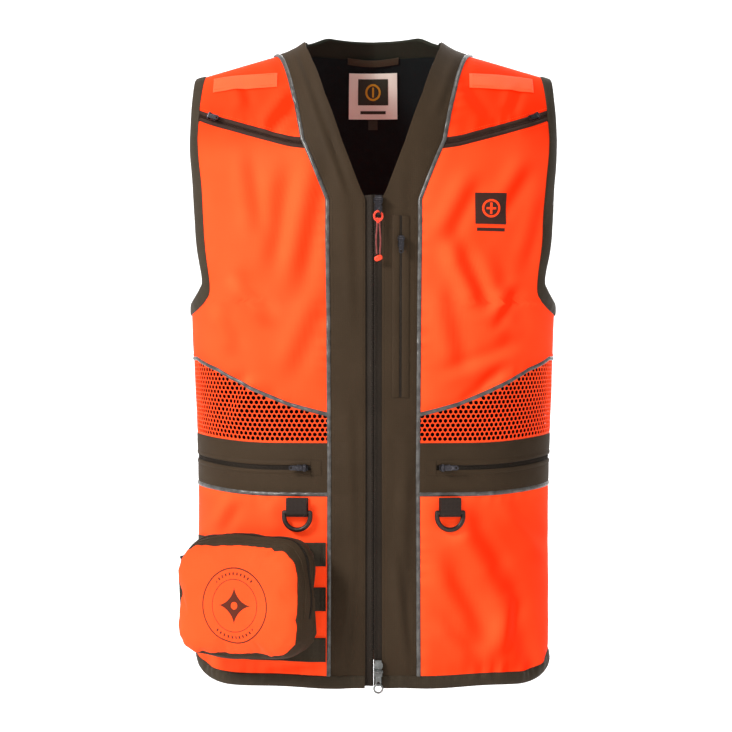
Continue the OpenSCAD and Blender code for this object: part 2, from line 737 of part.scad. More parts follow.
back_yoke();
back_upper();
back_mesh();
back_band();
back_lower();
back_hem();
back_lining();
collar_band();
hanger_loop();
neck_label();
armhole_bindings();
shoulder_tabs();
placket_left();
placket_right();
yoke_left();
yoke_right();
chest_left();
chest_right();
mesh_left();
mesh_right();
band_left();
band_right();
lower_left();
lower_right();
binding_left();
binding_right();
piping_left();
piping_right();
main_zip_left();
main_zip_right();
pocket_zips_left();
pocket_zips_right();
chest_zip();
ring_webbing_left();
ring_webbing_right();
d_ring_left();
d_ring_right();
molle_webbing();
pouch_straps();
pouch_back();
pouch_gusset();
pouch_front();
main_top_slider();
main_top_pull();
pull_cord();
cord_end();
main_bottom_slider();
main_bottom_pull();
chest_slider();
chest_pull();
yoke_slider_left();
yoke_slider_right();
yoke_pull_left();
yoke_pull_right();
waist_slider_left();
waist_slider_right();
waist_pull_left();
waist_pull_right();
pouch_slider();
pouch_pull();
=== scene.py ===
import math
import bpy
import bmesh
import numpy as np
from mathutils import Matrix, Vector
from mathutils.bvhtree import BVHTree


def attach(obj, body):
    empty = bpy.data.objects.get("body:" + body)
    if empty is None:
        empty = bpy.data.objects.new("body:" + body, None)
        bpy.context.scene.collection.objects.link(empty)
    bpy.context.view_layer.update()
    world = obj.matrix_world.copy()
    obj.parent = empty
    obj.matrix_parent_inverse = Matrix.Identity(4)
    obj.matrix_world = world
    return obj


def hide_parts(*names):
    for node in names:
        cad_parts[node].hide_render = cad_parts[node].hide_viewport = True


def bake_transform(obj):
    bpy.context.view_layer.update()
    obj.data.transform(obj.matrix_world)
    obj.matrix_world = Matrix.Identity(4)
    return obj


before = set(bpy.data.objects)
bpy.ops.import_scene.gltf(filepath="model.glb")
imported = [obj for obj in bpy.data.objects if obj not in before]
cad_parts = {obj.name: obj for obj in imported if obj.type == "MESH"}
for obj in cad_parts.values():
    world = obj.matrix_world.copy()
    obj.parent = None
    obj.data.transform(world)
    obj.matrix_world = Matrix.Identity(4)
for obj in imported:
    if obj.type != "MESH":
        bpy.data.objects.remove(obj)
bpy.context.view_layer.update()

# ---- camera
camera = bpy.data.objects.new("camera", bpy.data.cameras.new("camera"))
camera.location = (-0.008, -2.6, -0.349)
camera.rotation_euler = (math.radians(90), 0, 0)
camera.data.lens = 116
camera.data.sensor_width = 36
bpy.context.scene.collection.objects.link(camera)
bpy.context.scene.camera = camera

# ---- the vest's surface, in mm, with heights above the front hem. A place on it is [a, u]: a is the angle
# round the body from the middle of the front, and u climbs the side below DOME and is an angle above it.
SHOULDER = 688.0  # inner end of the shoulder seam, where the frame's z is 0
DOME = 480.0  # where the sides begin to close in to the shoulders
RISE = 3  # mm of height to one unit of u below DOME
FRONT_DEPTH, BACK_DEPTH = 124, 118
ROUNDNESS = 2.4  # exponent of the plan, 2 for an ellipse
DEG = math.pi / 180


def half_w(z):
    return np.interp(z, [230, 398, DOME], [191, 198, 203])


def top_h(x):
    return SHOULDER - 0.29 * (np.abs(x) - 73) + 35 * np.maximum(0, 1 - (x / 95) ** 2) ** 2


def power(v):
    return np.sign(v) * np.abs(v) ** (2 / ROUNDNESS)


def skin(a, u):
    low = DOME + RISE * np.minimum(u, 0)
    x = half_w(low) * power(np.sin(a * DEG))
    reach = power(np.cos(a * DEG)) * np.cos(np.maximum(u, 0) * DEG)
    z = np.where(u < 0, low, DOME + (top_h(x) - DOME) * np.sin(u * DEG))
    return np.stack([x, -reach * np.where(reach > 0, FRONT_DEPTH, BACK_DEPTH), z], -1)


def outward(a, u, t=0.4):
    n = np.cross(skin(a + t, u) - skin(a - t, u), skin(a, u + t) - skin(a, u - t))
    return n / np.linalg.norm(n, axis=-1, keepdims=True)


def angle_at(x, z):
    return np.sign(x) * np.degrees(np.arcsin(np.clip(np.abs(x) / half_w(z), 0, 1) ** (ROUNDNESS / 2)))


def u_low(z):
    """u of a height below DOME."""
    return (z - DOME) / RISE


def u_at(x, z):
    x, z = np.asarray(x, float), np.asarray(z, float)
    domed = np.degrees(np.arcsin(np.clip((z - DOME) / (top_h(x) - DOME), -1, 1)))
    return np.where(z < DOME, u_low(z), domed)


def smooth(v, lo=0.0, hi=1.0):
    t = np.clip((v - lo) / (hi - lo), 0, 1)
    return t * t * (3 - 2 * t)


def run_length(points):
    """Distance along a line of points, from 0 at its first."""
    return np.concatenate([[0], np.cumsum(np.linalg.norm(np.diff(points, axis=0), axis=1))])


# Distance round the body at the height of the net, to lay flat patterns out in mm
arc_a = np.linspace(-100, 280, 761)
arc_s = run_length(skin(arc_a, np.full(761, -60.0)))
arc_s -= np.interp(0, arc_a, arc_s)

# Seam lines. Upright ones are [height, x], level ones [x, height], the armholes' [height, angle].
ZIP_LINE = np.array([[0, 8.8], [516, 8.8], [521, 12], [576, 33], [630, 52], [668, 65.5], [683, 71.5],
                     [694, 74]])
V_LINE = np.array([[0, 45], [514, 46.5], [579, 73], [680, 105]])
MESH_LINE = np.array([[40, 286], [90, 299], [130, 316], [165, 334], [190, 346]])
YOKE_LINE = np.array([[60, 573.7], [187, 610]])
ARM_FRONT = [[406, 90], [408, 83], [413, 75], [422, 68], [433, 65], [466, 68.3], [497, 70.3],
             [528, 72.3], [575, 76], [600, 76], [653, 72.5]]
ARM_FRONT_SEAM = [[394, 90], [395.5, 80], [400, 70.5], [409, 62.5], [423, 58.6], [466, 60.2], [497, 61.2],
                  [528, 62.6], [575, 66.0], [600, 66.0], [655, 62]]
ARM_BACK = [[406, 90], [408, 97], [413, 104], [422, 109], [435, 111], [466, 110], [528, 108],
            [575, 105], [600, 105], [653, 107.5]]
ARM_BACK_SEAM = [[394, 90], [395.5, 100], [400, 109], [409, 115], [423, 117], [466, 116],
                 [528, 114], [575, 111.5], [600, 111.5], [655, 114]]
HEM, BAND_LOW, BAND_TOP, POCKET = 14.0, 204.0, 258.0, 232.0
HEM_TIP = 0.8  # the hem binding's lower rim
CUT_LOW = 6  # where the panels end inside the hem binding
PIPE_W = 4.4


def upright(edge, dx=0.0):
    edge = np.asarray(edge, float)
    x = edge[:, 1] + dx
    return np.stack([u_at(x, edge[:, 0]), angle_at(x, edge[:, 0])], -1)


def level(edge, dz=0.0):
    edge = np.asarray(edge, float)
    z = edge[:, 1] + dz
    return np.stack([angle_at(edge[:, 0], z), u_at(edge[:, 0], z)], -1)


def flat(z):
    return np.array([[0.0, u_low(z)]])


def plumb(x, top=530):
    """Upright line from the hem to a height, at one distance from the middle."""
    return upright([[0, x], [top, x]])


def by_angle(edge):
    edge = np.asarray(edge, float)
    x = half_w(edge[:, 0]) * power(np.sin(edge[:, 1] * DEG))
    return np.stack([u_at(x, edge[:, 0]), edge[:, 1]], -1)


def beside(edge, d):
    return edge + np.array([0, d])


def round_back(edge):
    return np.stack([edge[:, 0], 360 - edge[:, 1]], -1)


def look(edge, t):
    return np.interp(t, edge[:, 0], edge[:, 1])


def climb(edge, u):
    """Line of [a, u] along an upright edge."""
    return np.stack([look(edge, u), u], -1)


def cross(edge, a):
    """Line of [a, u] along a level edge."""
    return np.stack([a, look(edge, a)], -1)


def at_height(z, a0, a1, n):
    return np.stack([np.linspace(a0, a1, n), np.full(n, u_low(z))], -1)


def between(one, two, t):
    """Grid of [a, u] from line one (t = 0) to line two (t = 1)."""
    return one[:, None, :] * (1 - t)[None, :, None] + two[:, None, :] * t[None, :, None]


def panel(left, right, low, high, cols, rows):
    """Grid of [a, u] between two upright and two level lines."""
    q, p = np.meshgrid(np.linspace(0, 1, rows + 1), np.linspace(0, 1, cols + 1), indexing="ij")

    def across(u):
        return (1 - p) * look(left, u) + p * look(right, u)

    def settle(edge):
        a = across(np.full(p.shape, -60.0))
        for _ in range(6):
            a = across(look(edge, a))
        return look(edge, a)

    u = settle(low) * (1 - q) + settle(high) * q
    return np.stack([across(u), u], -1)


# ---- folds, shared by every layer of cloth
def seg_dist(x, z, x0, z0, x1, z1):
    dx, dz = x1 - x0, z1 - z0
    length = math.hypot(dx, dz)
    t = ((x - x0) * dx + (z - z0) * dz) / length ** 2
    c = np.clip(t, 0, 1)
    side = (-(x - x0) * dz + (z - z0) * dx) / length
    return t, side, np.hypot(x - x0 - c * dx, z - z0 - c * dz)


def line_dist(x, z, line):
    best = np.full(x.shape, 1e3)
    for k in range(len(line) - 1):
        best = np.minimum(best, seg_dist(x, z, *line[k], *line[k + 1])[2])
    return best


# [x0, height0, x1, height1, width, amount] of each soft fold, on the front and on the back
FRONT_FOLDS = [
    [74, 470, 112, 392, 10, 3.2], [108, 400, 140, 366, 10, 1.6], [112, 452, 150, 372, 11, 1.7],
    [62, 420, 84, 330, 11, 1.4], [150, 430, 118, 384, 8, 1.4], [100, 545, 62, 470, 11, 1.3],
    [158, 560, 122, 500, 10, 1.1],
    [178, 540, 150, 440, 9, 0.9], [70, 320, 160, 352, 9, 0.8],
    [82, 178, 130, 104, 13, 3.6], [127, 116, 144, 18, 14, 3.2], [60, 132, 104, 52, 11, 1.9],
    [132, 190, 182, 128, 9, 1.4], [64, 70, 104, 24, 8, 1.2], [150, 100, 120, 26, 10, 1.3],
    [-88, 684, -56, 590, 4, 1.3], [-58, 598, -30, 516, 4, 1.2], [88, 676, 62, 600, 5, 0.7],
    [-64, 560, -92, 420, 12, 1.5], [-104, 556, -120, 440, 11, 1.1], [-146, 566, -128, 470, 10, 1.2],
    [-152, 430, -112, 384, 9, 1.6], [-62, 420, -100, 330, 12, 1.1], [-170, 400, -150, 352, 9, 1.0],
    [-110, 196, -96, 160, 9, 0.9], [-150, 198, -172, 160, 8, 1.0], [-56, 30, -120, 20, 7, 0.9],
    [100, 286, 150, 330, 9, 1.6], [-150, 276, -122, 326, 9, 1.8], [-66, 268, -100, 296, 8, 0.7],
    [84, 640, 120, 590, 9, 0.9], [-84, 640, -124, 590, 9, 0.9], [150, 645, 140, 612, 7, 0.6],
    [-150, 645, -140, 612, 7, 0.6], [30, 560, 24, 440, 7, 0.5], [-30, 510, -24, 380, 7, 0.9],
    [-28, 300, -22, 120, 7, 0.9], [34, 260, 26, 60, 7, 1.0], [20, 150, 34, 22, 5, 1.0],
    [-20, 140, -36, 20, 6, 0.8],
]
BACK_FOLDS = [
    [-40, 540, -70, 400, 16, 1.8], [50, 545, 84, 410, 16, 1.6], [-120, 530, -90, 420, 13, 1.3],
    [124, 536, 100, 430, 13, 1.2], [0, 520, 8, 420, 14, 0.8], [-150, 430, -110, 380, 9, 1.2],
    [150, 430, 112, 380, 9, 1.2], [-60, 190, -110, 60, 13, 1.8], [70, 196, 120, 50, 13, 1.9],
    [0, 180, -20, 50, 13, 1.2], [-150, 170, -130, 50, 11, 1.4], [156, 180, 128, 60, 11, 1.2],
    [-80, 620, -50, 580, 10, 0.7], [84, 624, 54, 580, 10, 0.7], [30, 160, 44, 30, 9, 0.9],
]
# [x, height, radius] kept still under the fittings on the front
STILL = [[28.5, 466, 16], [170, 604, 17], [-170, 604, 17], [80, 232, 16], [-80, 232, 16],
         [79, 186, 22], [-79, 186, 22], [8, 505, 16], [6, 18, 18]]


def folds(p):
    x, y, z = p[..., 0], p[..., 1], p[..., 2]
    front = y < 0
    d = np.zeros(x.shape)
    for strokes, here in ((FRONT_FOLDS, front), (BACK_FOLDS, ~front)):
        part = np.zeros(x.shape)
        for x0, z0, x1, z1, w, amount in strokes:
            t, side, dist = seg_dist(x, z, x0, z0, x1, z1)
            ends = smooth(t, -0.12, 0.3) * (1 - smooth(t, 0.7, 1.12))
            ridge = np.exp(-(side / w) ** 2) - 0.75 * np.exp(-((side - 1.5 * w) / (0.8 * w)) ** 2)
            part += 1.7 * amount * ridge * ends
        d += np.where(here, part, 0)
    d += 1.0 * np.sin(x / 23 + 1.3 * np.sin(z / 61)) * np.sin(z / 47 + x / 90)
    d += 0.3 * np.sin(x / 9.1 + z / 21) * np.sin(z / 13.3 - x / 37)
    gather = np.sin(x / 2.7 + 2.1 * np.sin(x / 17)) * (0.55 + 0.45 * np.sin(x / 31 + 2))
    near_hem = np.exp(-np.maximum(z - HEM, 0) / 13) * smooth(z, 4, 12)
    d += 1.7 * gather * near_hem * smooth(np.abs(x), 46, 62)
    still = np.ones(x.shape)
    for sx, sz, r in STILL:
        still *= 1 - np.exp(-(((x - sx) ** 2 + (z - sz) ** 2) / r ** 2) ** 1.5)
    still *= np.where(front, smooth(np.abs(x), 7, 24) * 0.85 + 0.15, 1)
    pouch = smooth(-x, 55, 75) * (1 - smooth(-x, 180, 200)) * smooth(z, 26, 40) * (1 - smooth(z, 150, 172))
    still *= np.where(front, 1 - 0.8 * pouch, 1)
    still *= smooth(np.abs(y), 0, 26) * 0.8 + 0.2
    d *= still
    # Panels sink at their seams and pucker beside them
    ax = np.abs(x)
    back_mesh = np.abs(z - np.interp(ax, [100, 190], [360, 348]))
    seams = [(np.where(front, line_dist(ax, z, V_LINE[:, ::-1]), 99.0), z, 6.5, 0.7),
             (np.where(front, line_dist(ax, z, MESH_LINE), back_mesh), x, 6, 0.6),
             (np.abs(z - BAND_LOW), x, 6, 0.6), (np.abs(z - BAND_TOP), x, 5, 0.4),
             (np.where(front, line_dist(ax, z, YOKE_LINE), np.abs(z - 556)), x, 6, 0.5),
             (np.abs(z - HEM), x, 7, 0.6)]
    for dist, s, reach, sink in seams:
        d -= sink * np.exp(-(dist / reach) ** 2) * np.where(ax < 12, 0, 1) * (0.3 + 0.7 * still)
        wave = np.sin(s / 2.3 + 1.7 * np.sin(s / 11)) * (0.55 + 0.45 * np.sin(s / 19 + 1))
        d += 0.5 * wave * np.exp(-(dist / (reach * 1.5)) ** 2) * still
    return d


def place(grid, off=0.0):
    """Row-frame points, in metres, of a grid of [a, u] at a distance from the surface in mm."""
    a, u = grid[..., 0], grid[..., 1]
    p = skin(a, u)
    n = outward(a, u)
    q = p + (folds(p) + off)[..., None] * n
    x, ax, z = p[..., 0], np.abs(p[..., 0]), p[..., 2]
    t = np.clip((ax - 152) / 39, 0, 0.985)
    corner = 22 * (1 - np.sqrt(1 - t * t)) * np.clip(1 - z / 120, 0, 1) ** 1.5
    rise = corner + 9 * np.clip((ax - 105) / 86, 0, 1) ** 2 * np.exp(-((z - 235) / 80) ** 2)
    q[..., 2] += rise - SHOULDER
    q[..., 2] += np.where(z < 60, 0.8 * np.sin(x / 17 + 1) * (1 - z / 60) * smooth(ax, 15, 40), 0)
    return q / 1000


def relief(grid):
    """Painted shade and light of the folds: how far they turn the cloth towards (1) or away from (0) a light
    high on the left.
    """
    p = place(grid, 0.6)
    n = np.cross(np.gradient(p, axis=1), np.gradient(p, axis=0))
    n /= np.maximum(np.linalg.norm(n, axis=-1, keepdims=True), 1e-12)
    base = outward(grid[..., 0], grid[..., 1])
    n *= np.sign((n * base).sum(-1, keepdims=True))
    turn = (n - base) @ np.array([-0.72, -0.2, 0.6])
    x, y, z = np.moveaxis(skin(grid[..., 0], grid[..., 1]), -1, 0)
    # Front only: more painted shade towards +x, away from the light, and low on the +x side; the yoke above 560
    # mm is made darker too
    slow = 0.16 * smooth(x, 40, 170) + 0.34 * smooth(z, 560, 610)
    slow = slow + 0.16 * smooth(x, 40, 90) * (1 - smooth(z, 150, 210))
    return np.clip(0.64 + 1.35 * turn - slow * smooth(-y, -20, 50), 0, 1)


def cut_size(grid):
    """Width, length and area, in metres, of the flat piece of cloth that a grid of [a, u] takes."""
    p = skin(grid[..., 0], grid[..., 1]) / 1000
    across, along = np.diff(p, axis=1), np.diff(p, axis=0)
    width = np.linalg.norm(across, axis=-1).sum(1).max()
    length = np.linalg.norm(along, axis=-1).sum(0).max()
    one = np.linalg.norm(np.cross(across[:-1], along[:, :-1]), axis=-1)
    two = np.linalg.norm(np.cross(across[1:], along[:, 1:]), axis=-1)
    return float(width), float(length), float((one + two).sum() / 2)


def quads(rings, sides, caps=True, loop=False):
    """Faces that join rings of points in a row, or in a loop, and close both ends."""
    faces = []
    for i in range(rings if loop else rings - 1):
        this, after = i * sides, (i + 1) % rings * sides
        faces += [[this + j, this + (j + 1) % sides, after + (j + 1) % sides, after + j] for j in range(sides)]
    if caps:
        faces += [list(range(sides))[::-1], [(rings - 1) * sides + j for j in range(sides)]]
    return faces


# ---- meshes
class Cloth:
    """Collects closed sheets, strips and stitches that become one object, turned over for the right side."""

    def __init__(self, side="left"):
        self.flip = np.array([1 if side == "left" else -1, 1])
        self.points, self.faces, self.uv, self.relief, self.cuts, self.count = [], [], [], [], [], 0

    def add(self, points, faces, uv=None, shade=None):
        points = points.reshape(-1, 3)
        self.points.append(points)
        self.uv.append(points[:, [0, 2]] if uv is None else uv)
        # Pieces without a grid of folds get a middling painted shade
        self.relief.append(np.full(len(points), 0.55) if shade is None else shade.ravel())
        self.faces += [[i + self.count for i in f] for f in faces]
        self.count += len(points)
        return self

    def sheet(self, grid, near, far, edge=0.45, counts=True):
        """Closed sheet between two distances from the surface, with rounded rims. A trim's cut isn't counted."""
        grid = grid * self.flip
        rows, cols = grid.shape[:2]
        uv = flat_uv(grid)
        if counts:
            self.cuts.append(cut_size(grid))
        mid = (near + far) / 2
        shrink = np.ones((rows, cols))
        shrink[0] = shrink[-1] = edge
        shrink[:, 0] = shrink[:, -1] = edge
        top = place(grid, mid + (far - mid) * shrink)
        low = place(grid, mid + (near - mid) * shrink)
        layer = rows * cols
        i, j = np.meshgrid(np.arange(rows - 1), np.arange(cols - 1), indexing="ij")
        c = (i * cols + j).ravel()
        cells = np.stack([c, c + 1, c + cols + 1, c + cols], -1)
        faces = (cells + layer).tolist() + cells[:, ::-1].tolist()
        around = (list(range(cols)) + [i * cols + cols - 1 for i in range(1, rows)]
                  + [(rows - 1) * cols + j for j in range(cols - 2, -1, -1)]
                  + [i * cols for i in range(rows - 2, 0, -1)])
        for k, s in enumerate(around):
            t = around[(k + 1) % len(around)]
            faces.append([s, t, t + layer, s + layer])
        shade = relief(grid).ravel()
        return self.add(np.stack([low, top]), faces, np.concatenate([uv, uv]), np.concatenate([shade, shade]))

    def sweep(self, one, two, section, lift=0.0, pucker=0.0, ring=False):
        """Strip with a closed cross-section, from line one (t = 0) to line two (t = 1)."""
        t, off = np.array(section).T
        one, two = one * self.flip, two * self.flip
        grid = between(one, two, t)
        offs = off + np.asarray(lift, float).reshape(-1, 1) + np.zeros((len(one), 1))
        if pucker:
            s = run_length(place(one)) * 1000
            wave = np.sin(s / 1.75 + 2.2 * np.sin(s / 13)) * (0.6 + 0.4 * np.sin(s / 23))
            outer = off > 0.5
            offs = offs + pucker * wave[:, None] * (outer * np.clip(1 - t, 0, 1))[None, :]
        return self.add(place(grid, offs), quads(len(one), len(section), not ring, ring), flat_uv(grid))

    def beads(self, p, q, r, sides=6, flatten=None):
        """Small round-ended rods from points p to points q, in metres; flatten is their outward direction."""
        d = q - p
        d = d / np.linalg.norm(d, axis=1, keepdims=True)
        up = flatten if flatten is not None else np.cross(d, np.array([0.3, 0.2, 0.9]))
        b = np.cross(d, up)
        b /= np.linalg.norm(b, axis=1, keepdims=True)
        up = np.cross(b, d)
        ang = np.arange(sides) * 2 * math.pi / sides
        around = np.cos(ang)[None, :, None] * b[:, None] + np.sin(ang)[None, :, None] * up[:, None]
        middles = [(p, 0.45), (p * 0.72 + q * 0.28, 1.0), (p * 0.28 + q * 0.72, 1.0), (q, 0.45)]
        points = np.stack([c[:, None] + r * k * around for c, k in middles], 1)
        one = quads(len(middles), sides)
        per = len(middles) * sides
        return self.add(points, [[i + n * per for i in f] for n in range(len(p)) for f in one])

    def stitches(self, line, off, pitch=3.1, length=2.1, r=0.3):
        p, t, n = stations(line * self.flip, pitch, off)
        half = t * length / 2000
        sink = n * (r * 0.25) / 1000
        return self.beads(p - half - sink, p + half - sink, r / 1000)


def flat_uv(grid):
    s = np.interp(grid[..., 0], arc_a, arc_s)
    h = DOME + RISE * grid[..., 1]
    return (np.stack([s, h], -1) / 1000).reshape(-1, 2)


def stations(line, pitch, off):
    """Points every pitch mm along a line of [a, u], with the directions along it and outward."""
    fine = np.linspace(0, len(line) - 1, max(len(line), 400))
    idx = np.arange(len(line))
    line = np.stack([np.interp(fine, idx, line[:, 0]), np.interp(fine, idx, line[:, 1])], -1)
    p = place(line, off)
    s = run_length(p) * 1000
    k = np.arange(pitch / 2, s[-1], pitch)
    at = np.stack([np.interp(k, s, line[:, 0]), np.interp(k, s, line[:, 1])], -1)
    p = place(at, np.interp(k, s, np.broadcast_to(off, s.shape)))
    t = np.gradient(p, axis=0)
    return p, t / np.linalg.norm(t, axis=1, keepdims=True), outward(at[:, 0], at[:, 1])


def catmull(points, n):
    """Smooth open curve of n points through the given ones."""
    pts = np.asarray(points, float)
    m = len(pts)
    t = np.linspace(0, m - 1, n)
    i = np.minimum(np.floor(t).astype(int), m - 2)
    f = (t - i)[:, None]
    a, b, c, d = (pts[np.clip(i + k, 0, m - 1)] for k in (-1, 0, 1, 2))
    square, cube = 2 * a - 5 * b + 4 * c - d, 3 * b - a - 3 * c + d
    return 0.5 * (2 * b + (c - a) * f + square * f ** 2 + cube * f ** 3)


def new_object(name, mesh, material=None):
    """Puts a mesh in the scene as an object, smooth and in its material."""
    if material:
        mesh.shade_smooth()
        mesh.materials.append(material)
    obj = bpy.data.objects.new(name, mesh)
    bpy.context.scene.collection.objects.link(obj)
    return obj


def build(name, cloth, material, slot, replaces=(), body="torso", side=None, sharp=40, uv=True,
          hangs_from=None):
    """Makes the object."""
    mesh = bpy.data.meshes.new(name)
    mesh.from_pydata(np.concatenate(cloth.points).tolist(), [], cloth.faces)
    bm = bmesh.new()
    bm.from_mesh(mesh)
    bmesh.ops.recalc_face_normals(bm, faces=bm.faces)
    bm.to_mesh(mesh)
    bm.free()
    if uv:
        layer = mesh.uv_layers.new(name="cloth")
        index = np.empty(len(mesh.loops), np.int32)
        mesh.loops.foreach_get("vertex_index", index)
        layer.data.foreach_set("uv", np.concatenate(cloth.uv)[index].astype(np.float32).ravel())
    # Painted shade and light of the folds, kept on the points for the orange cloth's colour
    fold = mesh.attributes.new("relief", "FLOAT", "POINT")
    fold.data.foreach_set("value", np.concatenate(cloth.relief).astype(np.float32))
    obj = new_object(name, mesh, material)
    mesh.set_sharp_from_angle(angle=math.radians(sharp))
    if side:
        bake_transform(obj)
    else:
        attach(obj, body)
    if replaces:
        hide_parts(*replaces)
    return obj


# ---- materials
BLACK, WHITE = (0, 0, 0), (1, 1, 1)


def nodes_of(name, coord="Object"):
    """A new material, its shader and its texture coordinate."""
    m = bpy.data.materials.new(name)
    m.use_nodes = True
    tree = m.node_tree
    return m, tree.nodes["Principled BSDF"], tree.nodes.new("ShaderNodeTexCoord").outputs[coord]


def link(a, b):
    a.id_data.links.new(a, b)


def node_on(socket, kind, key=None, **settings):
    """Adds a node to the socket's tree and feeds the socket into its input."""
    n = socket.id_data.nodes.new("ShaderNode" + kind)
    for name, value in settings.items():
        setattr(n, name, value)
    if key is not None:
        link(socket, n.inputs[key])
    return n


def put(node, values):
    """Sets sockets to plain values, colours without their alpha, or links them."""
    for key, v in values.items():
        if isinstance(v, bpy.types.NodeSocket):
            link(v, node.inputs[key])
        else:
            full = isinstance(v, tuple) and len(node.inputs[key].default_value) > len(v)
            node.inputs[key].default_value = (*v, 1) if full else v


def noise(coord, scale, detail=3.0):
    n = node_on(coord, "TexNoise", "Vector")
    put(n, {"Scale": scale, "Detail": detail})
    return n.outputs["Fac"]


def calc(op, a, b=None):
    n = node_on(a, "Math", 0, operation=op)
    if b is not None:
        put(n, {1: b})
    return n.outputs[0]


def ramp(fac, stops):
    """Colour ramp; a plain number as a stop's colour is that grey."""
    n = node_on(fac, "ValToRGB", "Fac")
    for e, (at, colour) in zip(n.color_ramp.elements, stops):
        e.position = at
        e.color = (*(colour if isinstance(colour, tuple) else (colour,) * 3), 1)
    return n.outputs["Color"]


def mix(fac, a, b):
    n = node_on(fac, "Mix", data_type="RGBA")
    put(n, {0: fac, 6: a, 7: b})
    return n.outputs[2]


def bump(shader, *layers):
    """layers: (height socket, strength, distance), the first lies lowest."""
    normal = None
    for height, strength, distance in layers:
        n = node_on(height, "Bump", "Height")
        put(n, {"Strength": strength, "Distance": distance})
        if normal is not None:
            link(normal, n.inputs["Normal"])
        normal = n.outputs["Normal"]
    link(normal, shader.inputs["Normal"])


def waves(coord, scale, axis, distortion=0.4):
    n = node_on(coord, "TexWave", "Vector", wave_type="BANDS", bands_direction=axis)
    put(n, {"Scale": scale, "Distortion": distortion, "Detail": 1})
    return n.outputs["Fac"]


def worn(colour, gain, base):
    """A paler version of a colour, for rubbed spots."""
    return tuple(min(1, gain * c + base) for c in colour)


def cloth_material(name, dark, light, rough, thread=0.55, weave=0.25, sheen=0.2, tint=WHITE, glow=None,
                   use_uv=True, twill=False, wear=0.0, deep=None):
    """Woven cloth: yarns at thread mm, slow colour variation, fine fuzz and faded high spots; deep is the colour
    of painted shade, mixed in where folds turn from the light.
    """
    m, shader, coord = nodes_of(name, "UV" if use_uv else "Object")
    per = 100 / thread
    warp = waves(coord, per, "DIAGONAL" if twill else "X")
    weft = waves(coord, per, "Y" if use_uv else "Z")
    yarns = calc("MULTIPLY" if twill else "MAXIMUM", warp, weft)
    slow = noise(coord, 14, 2)
    fine = noise(coord, 900, 2)
    base = ramp(slow, [(0.3, dark), (0.7, light)])
    # Painted shade: the base colour goes towards deep where the folds turn from the light
    if deep:
        fold = node_on(coord, "Attribute", attribute_name="relief")
        base = mix(ramp(fold.outputs["Fac"], [(0.15, WHITE), (0.85, BLACK)]), base, deep)
    n = node_on(base, "Mix", 6, data_type="RGBA", blend_type="MULTIPLY")
    put(n, {0: 0.7, 7: ramp(yarns, [(0.0, 0.86), (1.0, 1.06)])})
    colour = n.outputs[2]
    if wear:
        spots = calc("MULTIPLY", ramp(noise(coord, 120, 5), [(0.55, BLACK), (0.75, WHITE)]), wear)
        colour = mix(spots, colour, worn(light, 1.8, 0.02))
    put(shader, {"Base Color": colour, "Sheen Weight": sheen, "Sheen Roughness": 0.45, "Sheen Tint": tint,
                 "Specular IOR Level": 0.08 if deep else 0.2,
                 "Roughness": ramp(fine, [(0.2, rough - 0.08), (0.8, min(1, rough + 0.08))])})
    if glow:
        put(shader, {"Emission Color": glow[0], "Emission Strength": glow[1]})
    bump(shader, (slow, 0.15, 0.002), (yarns, weave, 0.00012), (fine, 0.12, 0.00005))
    return m


# Names, colours and finish of the cloths: dark, light, roughness, thread, weave, sheen and sheen tint
GLOW = ((1.0, 0.026, 0.001), 0.45)
NET_GLOW = ((1.0, 0.030, 0.002), 0.36)
# Colour of the painted shade in the orange cloth's folds
ORANGE_PAINTED_SHADE = (0.80, 0.022, 0.0005)
OLIVE = ((0.041, 0.0240, 0.0110), (0.051, 0.0305, 0.0148), 0.74, 0.6, 0.35, 0.05, (0.8, 0.7, 0.6))
WEBBING = ((0.020, 0.012, 0.009), (0.032, 0.021, 0.016), 0.6, 1.4, 0.8, 0.15, (0.8, 0.7, 0.6))
orange = cloth_material("orange_weave", (0.92, 0.110, 0.026), (1.0, 0.128, 0.034), 0.8, 0.5, 0.25, 0.02,
                        (1, 0.5, 0.2), GLOW, deep=ORANGE_PAINTED_SHADE)
orange_tab = cloth_material("orange_ribbon", (0.95, 0.110, 0.030), (1.0, 0.135, 0.040), 0.5, 0.5, 0.3, 0.1,
                            (1, 0.75, 0.6), GLOW)
orange_net = cloth_material("orange_net", (0.86, 0.060, 0.006), (0.95, 0.085, 0.012), 0.6, 0.35, 0.3, 0.08,
                            (1, 0.7, 0.4), NET_GLOW)
olive = cloth_material("olive_ripstop", *OLIVE, wear=0.05)
# Darker copy of the olive: painted shade for the facing inside the collar
facing = cloth_material("olive_facing_painted_shade", (0.014, 0.015, 0.009), (0.020, 0.021, 0.013), 0.8, 0.6, 0.35, 0.02,
                        (0.7, 0.8, 0.6))
olive_tape = cloth_material("olive_grosgrain", (0.038, 0.026, 0.014), (0.052, 0.037, 0.021), 0.66, 0.8, 0.6,
                            0.08, (0.8, 0.75, 0.7), wear=0.12)
lining = cloth_material("black_knit", (0.0022, 0.0042, 0.0045), (0.0045, 0.008, 0.0085), 0.85, 1.1, 0.6, 0.04,
                        (0.4, 0.6, 0.6))
label_cloth = cloth_material("label_satin", (0.84, 0.84, 0.74), (0.90, 0.90, 0.80), 0.42, 0.4, 0.35, 0.1,
                             (1, 0.9, 0.8))
zip_cloth = cloth_material("zip_tape", (0.022, 0.015, 0.010), (0.034, 0.024, 0.016), 0.7, 0.9, 0.5, 0.1,
                           (0.8, 0.7, 0.6), twill=True)
yoke_cloth = cloth_material("yoke_tape", (0.036, 0.014, 0.008), (0.052, 0.021, 0.012), 0.66, 0.9, 0.5, 0.1,
                            (0.9, 0.7, 0.6), twill=True)
webbing = cloth_material("ribbed_webbing", *WEBBING)
webbing_solid = cloth_material("ribbed_webbing_solid", *WEBBING, use_uv=False)
